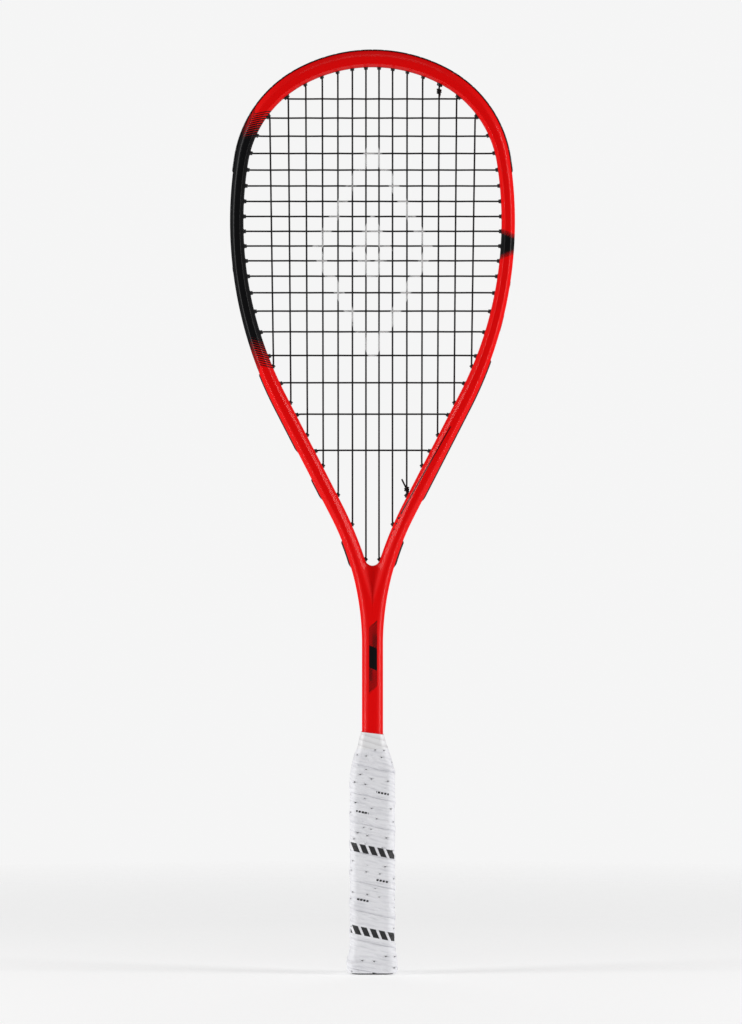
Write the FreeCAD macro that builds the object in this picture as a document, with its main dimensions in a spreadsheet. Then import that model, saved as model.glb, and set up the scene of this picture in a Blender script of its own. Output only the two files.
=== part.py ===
# A strung squash racket, standing on its butt: the length runs up +Z, the strings lie in the XZ plane
# and the front looks along -Y. The origin is the middle of the butt's end face. Millimetres.
import math
import os

import FreeCAD
import Part

from FreeCAD import Placement, Rotation, Vector

doc = FreeCAD.newDocument("SquashRacket")
sheet = doc.addObject("Spreadsheet::Sheet", "Sizes")

# name, value, what it is
drivingSizes = [
    ("headWidth", 211.3, "outside width of the head at its widest"),
    ("headRise", 126.5, "from the widest place up to the crown"),
    ("sideRadius", 310.6, "outside radius of the head's sides"),
    ("crownAngle", 28.5, "turn of the crown's flat arc, degrees"),
    ("sideLead", 9.0, "turn of the side arc above the widest place, degrees"),
    ("legAngle", 27.2, "lean of the throat's legs off the racket's axis, degrees"),
    ("flareRadius", 208.0, "outside radius where a leg runs into the shaft"),
    ("shaftWidth", 15.6, "width of the shaft across the racket"),
    ("shaftBare", 64.4, "shaft in sight between the grip and the flare"),
    ("gripLength", 178.0, "from the butt's end to the top of the grip"),
    ("beamDepth", 19.5, "front to back of the frame"),
    ("crownWidth", 11.5, "width of the beam at the crown, seen from the front"),
    ("sideWidth", 9.5, "width of the beam at the widest place"),
    ("legWidth", 12.5, "width of the beam along the legs"),
    ("facet", 3.5, "slanting facet along each edge of the beam"),
    ("wall", 1.6, "wall of the hollow beam, inside and outside the head"),
    ("frontWall", 3.0, "wall in front of the hollow and behind it"),
    ("shaftWall", 2.0, "wall of the shaft beside its slot"),
    ("slotDrop", 6.0, "from the flare down to the top of the shaft's slot"),
    ("crotchRadius", 5.0, "radius of the fork between the legs"),
    ("crotchFlare", 110.0, "inside radius where a leg bends down to the fork"),
    ("crotchTurn", 15.0, "turn of that bend, degrees"),
    ("stringDiameter", 1.25, "string"),
    ("weaveClearance", 0.08, "air between two strings where they cross"),
    ("mainCount", 14, "strings along the racket"),
    ("mainGap", 9.7, "gap between the middle mains"),
    ("mainSpread", 0.365, "how the mains spread towards the sides"),
    ("mainLean", 0.075, "how the outer mains lean in towards the throat"),
    ("crossesAbove", 9, "crosses above the middle cross"),
    ("crossesBelow", 9, "crosses below the middle cross"),
    ("crossFall", 18.2, "from the head's widest place down to the middle cross"),
    ("crossGap", 10.9, "gap between the middle crosses"),
    ("spreadAbove", 0.0152, "how the crosses spread towards the crown"),
    ("spreadBelow", 0.0735, "how the crosses spread towards the throat"),
    ("grooveDepth", 3.5, "depth of the string groove in the outside of the beam"),
    ("grooveWidth", 9.0, "width of the string groove"),
    ("grooveSpare", 1.0, "groove beyond the last strip"),
    ("stripThick", 1.0, "plastic of the grommet strips"),
    ("stripFit", 0.1, "clearance of a strip in the groove and of a barrel in its hole"),
    ("bumperProud", 1.0, "how far the head bumper stands out of the frame"),
    ("guardProud", 0.9, "how far the lower grommet strips stand out of the frame"),
    ("barrelWidth", 3.0, "outside of a grommet barrel"),
    ("barrelBore", 1.7, "bore of a grommet barrel"),
    ("tieBarrelWidth", 4.2, "outside of a barrel that holds two strings"),
    ("tieBarrelBore", 2.9, "bore of a barrel that holds two strings"),
    ("barrelProud", 1.8, "barrel in sight inside the head"),
    ("barrelLean", 0.3, "how much a barrel leans from square to the beam towards its string"),
    ("bumperEnd", 36.0, "from the widest place up to the bumper's ends"),
    ("guardTop", -100.0, "from the widest place to the top of the lower strips"),
    ("guardEnd", -218.0, "from the widest place to the bottom of the lower strips"),
    ("throatEnd", -260.0, "from the widest place to the bottom of the throat strips"),
    ("stripGap", 0.6, "gap between the ends of two strips"),
    ("gripWidth", 33.4, "width of the grip across the racket"),
    ("gripDepth", 27.4, "front to back of the grip"),
    ("gripCorner", 9.0, "corner radius of the grip's section"),
    ("gripThick", 1.5, "grip tape round the handle"),
    ("neckLength", 33.0, "length of the handle's taper"),
    ("neckOver", 0.8, "how far the taper's top stands out of the shaft"),
    ("buttFlare", 2.2, "how far the butt stands out of the grip"),
    ("buttFlareHeight", 6.0, "height of the flare's widest place"),
    ("buttFlareRun", 16.0, "height over which the flare dies out"),
    ("buttRound", 4.0, "rounding of the butt's end"),
    ("capWall", 1.6, "skirt and end plate of the butt cap"),
    ("capHeight", 18.0, "height of the butt cap"),
    ("shaftLift", 8.0, "from the cap's end plate up to the shaft's end"),
    ("finishLength", 11.0, "finishing tape at the top of the grip"),
    ("finishThick", 0.3, "finishing tape, two turns of it"),
    ("stapleWire", 1.0, "wire of a butt staple"),
    ("stapleSpan", 9.0, "width of a butt staple"),
    ("stapleLeg", 3.0, "leg of a butt staple"),
    ("stapleHeight", 12.5, "height of the staples above the butt's end"),
    ("knotTurns", 2, "turns of string in a tie-off knot"),
    ("tailLength", 8.0, "cut end of string at the lower knot"),
    ("upperTail", 2.0, "cut end of string at the upper knot"),
]


# Fixed values. A cutting shape runs cutMargin past what it cuts; pieces that would share a face stay
# skin apart.
cutMargin, skin = 3.0, 0.02
# A string lies in the groove in a lane of its own, at this Y, so that loops pass one another.
mainLane, crossLane, longLane = -1.3, 1.3, -2.6
# A loop joins its lane loopLead after a hole and follows the groove in steps of loopStep.
loopLead, loopStep = 3.5, 9.0
# Two strings in one barrel stand this far off its middle.
twinStand = 0.7
# Bends of a string: radius of a gentle one, radius of a sharp one in string diameters, and the turn between.
gentleRadius, sharpDiameters, sharpTurn = 8.0, 1.6, 0.5
# What the rounding of its bend takes off a string's stand, and how near a hole a crossing may lie.
bendLoss, holeMargin = 0.06, 1.0
# A barrel starts this share of a string's diameter past the bend of its string.
barrelStart = 0.6
# How the handle tapers: share of the way up, share of the narrowing.
taper = [(0.3, 0.14), (0.65, 0.62), (1.0, 1.0)]


def fillSheet():
    for row, (name, value, meaning) in enumerate(drivingSizes, start=1):
        sheet.set("A%d" % row, meaning)
        sheet.set("B%d" % row, repr(value))
        sheet.setAlias("B%d" % row, name)
    doc.recompute()


def size(name):
    return float(sheet.get(name))


def bind(thing, **formulas):
    # A size of the object follows the sheet. A name that holds __ stands for a dotted path.
    for key, formula in formulas.items():
        thing.setExpression(key.replace("__", "."), formula)


# ---------------------------------------------------------------- outlines
# An outline is a list of runs from the crown down the right side. A run is a start (x, z), a heading in
# radians clockwise from +X, a radius and a length. The radius is positive where the run turns clockwise,
# negative where it turns back and None where it is straight.


def runPoint(run, along, inward):
    x, z, heading, radius, length = run
    if radius is None:
        x += along * math.cos(heading)
        z -= along * math.sin(heading)
        turned = heading
    else:
        turned = heading + along / radius
        x += radius * (math.sin(turned) - math.sin(heading))
        z += radius * (math.cos(turned) - math.cos(heading))
    return x - inward * math.sin(turned), z - inward * math.cos(turned), turned


def chain(x, z, heading, steps):
    # Each step is (radius, turn) or (None, length), one tangent to the next.
    runs = []
    for radius, amount in steps:
        length = amount if radius is None else abs(radius) * amount
        runs.append((x, z, heading, radius, length))
        x, z, heading = runPoint(runs[-1], length, 0.0)
    return runs


def crownRadii(halfWidth, rise, radius):
    # The two arcs of the crown: together they span what the side arc leaves of the width and the rise.
    first = math.radians(size("crownAngle"))
    last = math.pi / 2 - math.radians(size("sideLead"))
    across = halfWidth - radius * (1 - math.sin(last))
    up = rise - radius * math.cos(last)
    a, b = math.sin(first), math.sin(last) - math.sin(first)
    c, d = 1 - math.cos(first), math.cos(first) - math.cos(last)
    det = a * d - b * c
    return (across * d - b * up) / det, (a * up - c * across) / det


def headSteps(halfWidth, rise, radius):
    crown, shoulder = crownRadii(halfWidth, rise, radius)
    first = math.radians(size("crownAngle"))
    lead = math.radians(size("sideLead"))
    lean = math.radians(size("legAngle"))
    return [(crown, first), (shoulder, math.pi / 2 - lead - first), (radius, lead + lean)]


def outerOutline():
    lean = math.radians(size("legAngle"))
    half, shaft = size("headWidth") / 2, size("shaftWidth") / 2
    side, flare = size("sideRadius"), size("flareRadius")
    leg = (half - shaft - (side + flare) * (1 - math.cos(lean))) / math.sin(lean)
    flareStart = size("gripLength") + size("shaftBare")
    widest = flareStart + (side + flare) * math.sin(lean) + leg * math.cos(lean)
    steps = headSteps(half, size("headRise"), side)
    steps += [(None, leg), (-flare, lean), (None, flareStart - shaftBottom())]
    return chain(0.0, widest + size("headRise"), 0.0, steps), widest


def innerOutline():
    # The inside of the head, set in by the beam's widths, down to the fork between the legs.
    lean = math.radians(size("legAngle"))
    left = lean - math.radians(size("crotchTurn"))
    half = size("headWidth") / 2 - size("sideWidth")
    rise = size("headRise") - size("crownWidth")
    inset = (size("sideWidth") * math.cos(lean) - size("legWidth")) / (1 - math.cos(lean))
    radius = size("sideRadius") + inset
    fork, flare = size("crotchRadius"), size("crotchFlare")
    reach = half - radius * (1 - math.cos(lean))
    reach -= fork * math.cos(left) + flare * (math.cos(left) - math.cos(lean))
    steps = headSteps(half, rise, radius)
    steps += [(None, reach / math.sin(lean)), (-flare, lean - left), (fork, math.pi / 2 - left)]
    return chain(0.0, widest + rise, 0.0, steps)


def shaftBottom():
    return size("capWall") + size("shaftLift")


def lengthOf(runs):
    return sum(run[4] for run in runs)


def pointAt(runs, along, inward=0.0):
    for run in runs:
        if along <= run[4] or run is runs[-1]:
            return runPoint(run, along, inward)
        along -= run[4]


def trimmed(runs, start, end):
    # The part of an outline between two distances along it.
    kept = []
    passed = 0.0
    for run in runs:
        low, high = max(start, passed), min(end, passed + run[4])
        if high - low > 1e-6:
            x, z, heading = runPoint(run, low - passed, 0.0)
            kept.append((x, z, heading, run[3], high - low))
        passed += run[4]
    return kept


def findAlong(runs, test, low, high, inward=0.0):
    # The distance along the outline where test turns from true to false.
    for step in range(50):
        middle = (low + high) / 2
        if test(*pointAt(runs, middle, inward)[:2]):
            low = middle
        else:
            high = middle
    return (low + high) / 2


def project(runs, x, z):
    # Where a point lies against the outline: the distance along it and how far inside it the point is.
    best = None
    passed = 0.0
    for sx, sz, heading, radius, length in runs:
        if radius is None:
            along = (x - sx) * math.cos(heading) - (z - sz) * math.sin(heading)
        else:
            cx, cz = sx - radius * math.sin(heading), sz - radius * math.cos(heading)
            side = 1 if radius > 0 else -1
            turned = math.atan2(side * (x - cx), side * (z - cz))
            along = (turned - heading) * radius
            around = 2 * math.pi * abs(radius)
            along = (along + around / 2) % around - around / 2
        along = min(max(along, 0.0), length)
        px, pz, turned = runPoint((sx, sz, heading, radius, length), along, 0.0)
        away = math.hypot(x - px, z - pz)
        inward = -(x - px) * math.sin(turned) - (z - pz) * math.cos(turned)
        if best is None or away < best[0]:
            best = (away, passed + along, inward)
        passed += length
    return best[1], best[2]


def runEdges(runs, inward, mirror=1):
    edges = []
    for run in runs:
        ends = [runPoint(run, run[4] * share, inward)[:2] for share in (0.0, 0.5, 1.0)]
        first, middle, last = (Vector(mirror * px, 0, pz) for px, pz in ends)
        if run[3] is None:
            edges.append(Part.LineSegment(first, last).toShape())
        else:
            edges.append(Part.Arc(first, middle, last).toShape())
    return edges


def ends(runs, inward, mirror=1):
    first = runPoint(runs[0], 0.0, inward)
    last = runPoint(runs[-1], runs[-1][4], inward)
    return Vector(mirror * first[0], 0, first[1]), Vector(mirror * last[0], 0, last[1])


def band(runs, near, far, low, high, mirror=1):
    # A strip along an outline, from near to far inside it and from low to high in Y.
    start, stop = zip(ends(runs, near, mirror), ends(runs, far, mirror))
    edges = runEdges(runs, near, mirror) + runEdges(runs, far, mirror)
    edges += [Part.LineSegment(*start).toShape(), Part.LineSegment(*stop).toShape()]
    wire = Part.Wire(Part.__sortEdges__(edges))
    face = Part.Face(wire)
    face.translate(Vector(0, low, 0))
    return face.extrude(Vector(0, high - low, 0))


# ---------------------------------------------------------------- strings
# A hole is where a string passes through the beam. It has its mouth on the inside of the beam, the way it
# points and its foot, where the string's middle meets the groove.


def stringLevel():
    # How deep in the groove a string's middle lies, just clear of the strip's plate.
    return size("grooveDepth") - size("stripThick") - size("stringDiameter") / 2 - size("stripFit")


def mouthLevel():
    # How far inside the head a string bends into its barrel, just before the barrel's end.
    return size("barrelProud") + barrelStart * size("stringDiameter")


def reachLevel(x, z, ux, uz, inward):
    # How far along the direction (ux, uz) the line from (x, z) comes within inward of the outside.
    low, high = 0.0, 60.0
    for step in range(50):
        middle = (low + high) / 2
        if project(outer, x + ux * middle, z + uz * middle)[1] > inward:
            low = middle
        else:
            high = middle
    return (low + high) / 2


def makeHole(along, pull, twin=False):
    # pull is the way the string points as it leaves the head, for the right side.
    x, z, heading = pointAt(inner, along, mouthLevel())
    ux = math.sin(heading) + size("barrelLean") * pull[0]
    uz = math.cos(heading) + size("barrelLean") * pull[1]
    long = math.hypot(ux, uz)
    ux, uz = ux / long, uz / long
    foot = reachLevel(x, z, ux, uz, stringLevel())
    groove = project(outer, x + ux * foot, z + uz * foot)[0]
    return {"x": x, "z": z, "ux": ux, "uz": uz, "foot": foot, "groove": groove, "twin": twin}


def mainPlace(number):
    return size("mainGap") * (number + 0.5) + size("mainSpread") * number ** 2


def crossHeight(number):
    # Numbers run from the middle cross, up positive.
    spread = size("spreadAbove") if number > 0 else size("spreadBelow")
    return widest - size("crossFall") + size("crossGap") * number + spread * number ** 3


def mainHoles(number):
    halfway = findAlong(inner, lambda x, z: z > widest, 0.0, lengthOf(inner))
    legs = lengthOf(inner[:-1])
    place = mainPlace(number)
    foot = place - size("mainLean") * number ** 2
    top = findAlong(inner, lambda x, z: x < place, 0.0, halfway, mouthLevel())
    bottom = findAlong(inner, lambda x, z: x > foot, halfway, legs, mouthLevel())
    return makeHole(top, (0.0, 1.0)), makeHole(bottom, (0.0, -1.0))


def crossHole(number):
    height = crossHeight(number)
    along = findAlong(inner, lambda x, z: z > height, 0.0, lengthOf(inner[:-1]), mouthLevel())
    return makeHole(along, (1.0, 0.0))


def holePoint(hole, mirror, distance, y):
    x, z = hole["x"] + hole["ux"] * distance, hole["z"] + hole["uz"] * distance
    return Vector(mirror * x, y, z)


def loopPoints(first, firstMirror, second, secondMirror, lane, yFirst=0.0, ySecond=0.0):
    # From one hole's foot to another's along the groove, in a lane of its own.
    level = stringLevel()
    start, end = firstMirror * first["groove"], secondMirror * second["groove"]
    way = 1 if end > start else -1
    span = abs(end - start) - 2 * loopLead
    count = max(1, int(math.ceil(span / loopStep)))
    points = [holePoint(first, firstMirror, first["foot"], yFirst)]
    for step in range(count + 1):
        along = start + way * (loopLead + span * step / count)
        x, z, heading = pointAt(outer, abs(along), level)
        points.append(Vector(math.copysign(x, along) if along else x, lane, z))
    points.append(holePoint(second, secondMirror, second["foot"], ySecond))
    return points


def mainAt(number, mirror, z):
    top, bottom = mains[number]
    share = (z - bottom["z"]) / (top["z"] - bottom["z"])
    return mirror * (bottom["x"] + share * (top["x"] - bottom["x"]))


def over(mirror, number, crossNumber):
    # Which way a main stands off at a cross: -1 in front, +1 behind.
    place = number if mirror > 0 else -1 - number
    return 1 if (place + crossNumber) % 2 else -1


def crossings():
    # Every crossing as (mirror, main, cross): x, z.
    found = {}
    for mirror in (1, -1):
        for number, (top, bottom) in enumerate(mains):
            for cross, hole in crosses.items():
                z = hole["z"]
                x = mainAt(number, mirror, z)
                inside = bottom["z"] + holeMargin < z < top["z"] - holeMargin
                if inside and abs(x) < hole["x"] - holeMargin:
                    found[(mirror, number, cross)] = (x, z)
    return found


def stand():
    # How far a string stands off the middle plane at a crossing, at the corner of its bend.
    return (size("stringDiameter") + size("weaveClearance")) / 2 + bendLoss


def mainSpan(mirror, number, downwards, yTop=0.0, yBottom=0.0):
    top, bottom = mains[number]
    points = [holePoint(top, mirror, 0.0, yTop)]
    met = [(z, x, cross) for (m, n, cross), (x, z) in woven.items() if m == mirror and n == number]
    for z, x, cross in sorted(met, reverse=True):
        points.append(Vector(x, stand() * over(mirror, number, cross), z))
    points.append(holePoint(bottom, mirror, 0.0, yBottom))
    return points if downwards else points[::-1]


def crossSpan(cross, rightwards):
    hole = crosses[cross]
    points = [holePoint(hole, -1, 0.0, 0.0)]
    met = [(x, z, m, n) for (m, n, c), (x, z) in woven.items() if c == cross]
    for x, z, mirror, number in sorted(met):
        points.append(Vector(x, -stand() * over(mirror, number, cross), z))
    points.append(holePoint(hole, 1, 0.0, 0.0))
    return points if rightwards else points[::-1]


def roundedWire(points):
    # Straight runs joined by tangent arcs: wide ones at the gentle bends, tight ones at the holes.
    edges = []
    at = points[0]
    for before, corner, after in zip(points, points[1:], points[2:]):
        back, ahead = (before - corner), (after - corner)
        turn = math.pi - back.getAngle(ahead)
        if turn < 0.01:
            continue
        room = 0.45 * min(back.Length, ahead.Length)
        wanted = gentleRadius if turn < sharpTurn else sharpDiameters * size("stringDiameter")
        radius = min(wanted, room / math.tan(turn / 2))
        cut = radius * math.tan(turn / 2)
        back.normalize()
        ahead.normalize()
        inside = (back + ahead).normalize()
        middle = corner + inside * (radius / math.cos(turn / 2) - radius)
        first, last = corner + back * cut, corner + ahead * cut
        edges.append(Part.LineSegment(at, first).toShape())
        edges.append(Part.Arc(first, middle, last).toShape())
        at = last
    edges.append(Part.LineSegment(at, points[-1]).toShape())
    return Part.Wire(edges)


def cord(points):
    wire = roundedWire(points)
    way = (points[1] - points[0]).normalize()
    radius = size("stringDiameter") / 2
    ring = Part.Wire(Part.Circle(points[0], way, radius).toShape())
    pipe = Part.BRepOffsetAPI.MakePipeShell(wire)
    pipe.setFrenetMode(False)
    pipe.add(ring)
    pipe.build()
    pipe.makeSolid()
    shape = pipe.shape()
    print("string of", round(wire.Length), "mm, volume against its section times its length:",
          round(shape.Volume / (math.pi * radius ** 2 * wire.Length), 4))
    return shape


# ---------------------------------------------------------------- building blocks


def planeOf(body, role):
    return next(plane for plane in body.Origin.OriginFeatures if plane.Role == role)


def faceSketch(body, name, wires):
    # A sketch on the body's XZ plane, drawn from wires that lie in it.
    sketch = body.newObject("Sketcher::SketchObject", name)
    sketch.AttachmentSupport = [(planeOf(body, "XZ_Plane"), "")]
    sketch.MapMode = "FlatFace"
    drawn = []
    for edge in (edge for wire in wires for edge in wire):
        low, high = edge.ParameterRange
        flat = [edge.valueAt(low + (high - low) * share) for share in (0.0, 0.5, 1.0)]
        flat = [Vector(point.x, point.z, 0) for point in flat]
        if edge.Curve.TypeId == "Part::GeomLine":
            drawn.append(Part.LineSegment(flat[0], flat[2]))
        else:
            drawn.append(Part.Arc(*flat))
    sketch.addGeometry(drawn, False)
    return sketch


def closed(edges, first, last):
    # Edges of one side with those of the other, and a straight piece between their ends.
    return edges + [Part.LineSegment(first, last).toShape()]


def midPad(body, kind, name, sketch, lengthFormula):
    feature = body.newObject(kind, name)
    feature.Profile = sketch
    feature.Midplane = True
    bind(feature, Length=lengthFormula)
    doc.recompute()
    return feature


def roundedRing(name, halfWidth, halfDepth, corner, height):
    # A rounded rectangle across the racket's axis, as a sketch at its height.
    sketch = doc.addObject("Sketcher::SketchObject", name)
    corner = min(corner, halfWidth - 0.2, halfDepth - 0.2)
    flatX, flatY = halfWidth - corner, halfDepth - corner
    slant = corner * math.sqrt(0.5)
    for right, up in ((1, 1), (-1, 1), (-1, -1), (1, -1)):
        side = Vector(right * halfWidth, up * flatY, 0)
        middle = Vector(right * (flatX + slant), up * (flatY + slant), 0)
        end = Vector(right * flatX, up * halfDepth, 0)
        sketch.addGeometry(Part.Arc(side, middle, end), False)
    for up in (1, -1):
        line = Part.LineSegment(Vector(-flatX, up * halfDepth, 0), Vector(flatX, up * halfDepth, 0))
        sketch.addGeometry(line, False)
    for right in (1, -1):
        line = Part.LineSegment(Vector(right * halfWidth, -flatY, 0), Vector(right * halfWidth, flatY, 0))
        sketch.addGeometry(line, False)
    sketch.Placement = Placement(Vector(0, 0, height), Rotation())
    return sketch


def ringLoft(name, levels):
    # A solid through rounded rectangles. A level is (height, half width, half depth, corner).
    rings = []
    for number, (height, halfWidth, halfDepth, corner) in enumerate(levels):
        rings.append(roundedRing("%sRing%d" % (name, number), halfWidth, halfDepth, corner, height))
    loft = doc.addObject("Part::Loft", name + "Solid")
    loft.Sections = rings
    loft.Solid = True
    loft.Ruled = True
    return loft


def cut(name, base, tool):
    result = doc.addObject("Part::Cut", name)
    result.Base = base
    result.Tool = tool
    return result


def plain(name, shape):
    # A piece whose shape comes from Part's own functions.
    feature = doc.addObject("Part::Feature", name)
    feature.Shape = shape
    feature.Placement = Placement()
    return feature


# ---------------------------------------------------------------- the frame


def frameBlank():
    # The beam: its outline less the head's opening, with a facet along every long edge.
    body = doc.addObject("PartDesign::Body", "FrameBeam")
    butt = [ends(outer, 0.0, side)[1] for side in (1, -1)]
    outside = closed(runEdges(outer, 0.0) + runEdges(outer, 0.0, -1), *butt)
    inside = runEdges(inner, 0.0) + runEdges(inner, 0.0, -1)
    beam = midPad(body, "PartDesign::Pad", "Beam", faceSketch(body, "BeamOutline", [outside, inside]),
                  "Sizes.beamDepth")
    front = size("beamDepth") / 2
    long = []
    for number, edge in enumerate(beam.Shape.Edges, start=1):
        box = edge.BoundBox
        flat = box.YLength < 1e-4 and abs(abs(box.YMin) - front) < 1e-4
        if flat and box.ZMax > shaftBottom() + 1:
            long.append("Edge%d" % number)
    facets = body.newObject("PartDesign::Chamfer", "Facets")
    facets.Base = (beam, long)
    bind(facets, Size="Sizes.facet")
    doc.recompute()
    return body


def frameHollow(body):
    # The beam is hollow: a ring round the head and a slot down the shaft.
    wall, groove = size("wall"), size("grooveDepth")
    butt = [ends(outer, groove + wall, side)[1] for side in (1, -1)]
    ring = closed(runEdges(outer, groove + wall) + runEdges(outer, groove + wall, -1), *butt)
    inside = runEdges(inner, -wall) + runEdges(inner, -wall, -1)
    midPad(body, "PartDesign::Pocket", "Hollow", faceSketch(body, "HollowOutline", [ring, inside]),
           "Sizes.beamDepth - 2 * Sizes.frontWall")
    half = size("shaftWidth") / 2 - size("shaftWall")
    low = shaftBottom() - cutMargin
    high = size("gripLength") + size("shaftBare") - size("slotDrop")
    corners = [Vector(-half, 0, low), Vector(half, 0, low), Vector(half, 0, high), Vector(-half, 0, high)]
    slot = [Part.LineSegment(a, b).toShape() for a, b in zip(corners, corners[1:] + corners[:1])]
    midPad(body, "PartDesign::Pocket", "ShaftHollow", faceSketch(body, "ShaftSlot", [slot]),
           "Sizes.beamDepth - 2 * Sizes.frontWall")


def grooveSpan():
    last = widest + size("throatEnd") - size("grooveSpare")
    return findAlong(outer, lambda x, z: z > last, 0.0, lengthOf(outer))


def frameGroove(body):
    # The string groove runs round the outside, from one side of the throat over the crown to the other.
    runs = trimmed(outer, 0.0, grooveSpan())
    depth, beyond = size("grooveDepth"), -cutMargin
    wire = []
    for side in (1, -1):
        wire += runEdges(runs, depth, side) + runEdges(runs, beyond, side)
        foot = [ends(runs, level, side)[1] for level in (depth, beyond)]
        wire.append(Part.LineSegment(*foot).toShape())
    midPad(body, "PartDesign::Pocket", "Groove", faceSketch(body, "GrooveOutline", [wire]),
           "Sizes.grooveWidth")


def holeRod(hole, mirror, radius, low, high):
    start = holePoint(hole, mirror, low, 0.0)
    way = Vector(mirror * hole["ux"], 0, hole["uz"])
    return Part.makeCylinder(radius, high - low, start, way)


def allHoles():
    found = []
    for top, bottom in mains:
        found += [top, bottom]
    return found + list(crosses.values())


def barrelSizes(hole):
    if hole["twin"]:
        return size("tieBarrelWidth") / 2, size("tieBarrelBore") / 2
    return size("barrelWidth") / 2, size("barrelBore") / 2


def frame():
    body = frameBlank()
    frameHollow(body)
    frameGroove(body)
    rods = []
    for hole in allHoles():
        for mirror in (1, -1):
            own = dict(hole, twin=hole["twin"] and mirror > 0)
            radius = barrelSizes(own)[0] + size("stripFit")
            rods.append(holeRod(hole, mirror, radius, 0.0, hole["foot"] + cutMargin))
    tool = plain("GrommetHoles", Part.makeCompound(rods))
    return cut("Frame", body, tool)


# ---------------------------------------------------------------- grommet strips


def strip(name, start, stop, proud, sides=(1,), wing=0.0):
    # A strip in the groove: a base plate, a rib along each side, a barrel for each hole under it and,
    # on the bumper, a wing over the frame beyond each rib.
    fit, thick = size("stripFit"), size("stripThick")
    depth = size("grooveDepth")
    half = size("grooveWidth") / 2 - fit
    runs = trimmed(outer, start, stop)
    pieces, bores = [], []
    for side in sides:
        pieces.append(band(runs, depth - thick, depth - skin, -half, half, side))
        for low, high in ((half - thick, half), (-half, thick - half)):
            pieces.append(band(runs, -proud, depth - thick, low, high, side))
        if wing:
            for low, high in ((half, half + wing), (-half - wing, -half)):
                pieces.append(band(runs, -proud, -skin, low, high, side))
        for hole in allHoles():
            if not start < hole["groove"] < stop:
                continue
            own = dict(hole, twin=hole["twin"] and side > 0)
            outside, bore = barrelSizes(own)
            # the barrel ends inside the plate, a little short of its outer face
            last = hole["foot"] - size("stringDiameter") / 2 - fit - 0.3 * thick
            pieces.append(holeRod(hole, side, outside, barrelStart * size("stringDiameter"), last))
            bores.append(holeRod(hole, side, bore, -cutMargin, last + 2 * cutMargin))
    shape = pieces[0].fuse(pieces[1:]).removeSplitter()
    if bores:
        shape = shape.cut(Part.makeCompound(bores))
    return plain(name, shape)


def strips():
    gap = size("stripGap") / 2

    def place(name):
        height = widest + size(name)
        return findAlong(outer, lambda x, z: z > height, 0.0, lengthOf(outer))

    bumper, guard = place("bumperEnd"), place("guardTop")
    throat, last = place("guardEnd"), place("throatEnd")
    guardProud = size("guardProud")
    flat = size("beamDepth") / 2 - size("facet") - size("grooveWidth") / 2
    made = {"head_bumper": strip("HeadBumper", 0.0, bumper - gap, size("bumperProud"), (1, -1), flat)}
    for side, word in ((-1, "left"), (1, "right")):
        title = word.capitalize()
        made["side_grommet_strip_" + word] = strip(
            title + "SideStrip", bumper + gap, guard - gap, 0.0, (side,))
        made["lower_grommet_strip_" + word] = strip(
            title + "LowerStrip", guard + gap, throat - gap, guardProud, (side,))
        made["throat_grommet_strip_" + word] = strip(
            title + "ThroatStrip", throat + gap, last, guardProud, (side,))
    return made


# ---------------------------------------------------------------- the strings' whole routes


def mainRoute():
    # From the right side's lower tie-off, up and down the mains from right to left, one loop each time,
    # and along the left leg to the lowest cross.
    last = len(mains) - 1
    start = mains[tieLow][1]
    points = [holePoint(start, 1, 0.0, -twinStand)]
    points += loopPoints(start, 1, mains[last][1], 1, longLane, -twinStand, 0.0)
    order = [(1, number) for number in range(last, -1, -1)] + [(-1, number) for number in range(last + 1)]
    down = False
    for place, (mirror, number) in enumerate(order):
        yTop = -twinStand if (mirror, number) == (1, tieHigh) else 0.0
        yBottom = twinStand if (mirror, number) == (1, tieLow) else 0.0
        points += mainSpan(mirror, number, down, yTop, yBottom)
        if place + 1 < len(order):
            nextMirror, nextNumber = order[place + 1]
            hole, other = mains[number][1 if down else 0], mains[nextNumber][1 if down else 0]
            tied = {(1, tieLow): twinStand} if down else {(1, tieHigh): -twinStand}
            lane = crossLane if down and mirror > 0 and tieLow in (number, nextNumber) else mainLane
            points += loopPoints(hole, mirror, other, nextMirror, lane,
                                 tied.get((mirror, number), 0.0), tied.get((nextMirror, nextNumber), 0.0))
        down = not down
    final = loopPoints(mains[last][1], -1, crosses[lowest], -1, longLane)
    return points + final


def crossRoute():
    # From the left leg through every cross from the lowest up, and over the crown to the upper tie-off.
    hole = crosses[lowest]
    points = [holePoint(hole, -1, hole["foot"], 0.0)]
    rightwards = True
    order = sorted(crosses)
    for place, cross in enumerate(order):
        points += crossSpan(cross, rightwards)
        side = 1 if rightwards else -1
        if place + 1 < len(order):
            points += loopPoints(crosses[cross], side, crosses[order[place + 1]], side, crossLane)
        rightwards = not rightwards
    tie = mains[tieHigh][0]
    points += loopPoints(crosses[order[-1]], 1, tie, 1, crossLane, 0.0, twinStand)
    return points + [holePoint(tie, 1, 0.0, twinStand)]


def onMain(number, high, z):
    # The middle of a right-hand main at a height near one of its ends.
    points = mainSpan(1, number, high, *((-twinStand, 0.0) if high else (0.0, twinStand)))
    for start, end in zip(points, points[1:]):
        if min(start.z, end.z) <= z <= max(start.z, end.z):
            return start + (end - start) * ((z - start.z) / (end.z - start.z))


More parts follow.
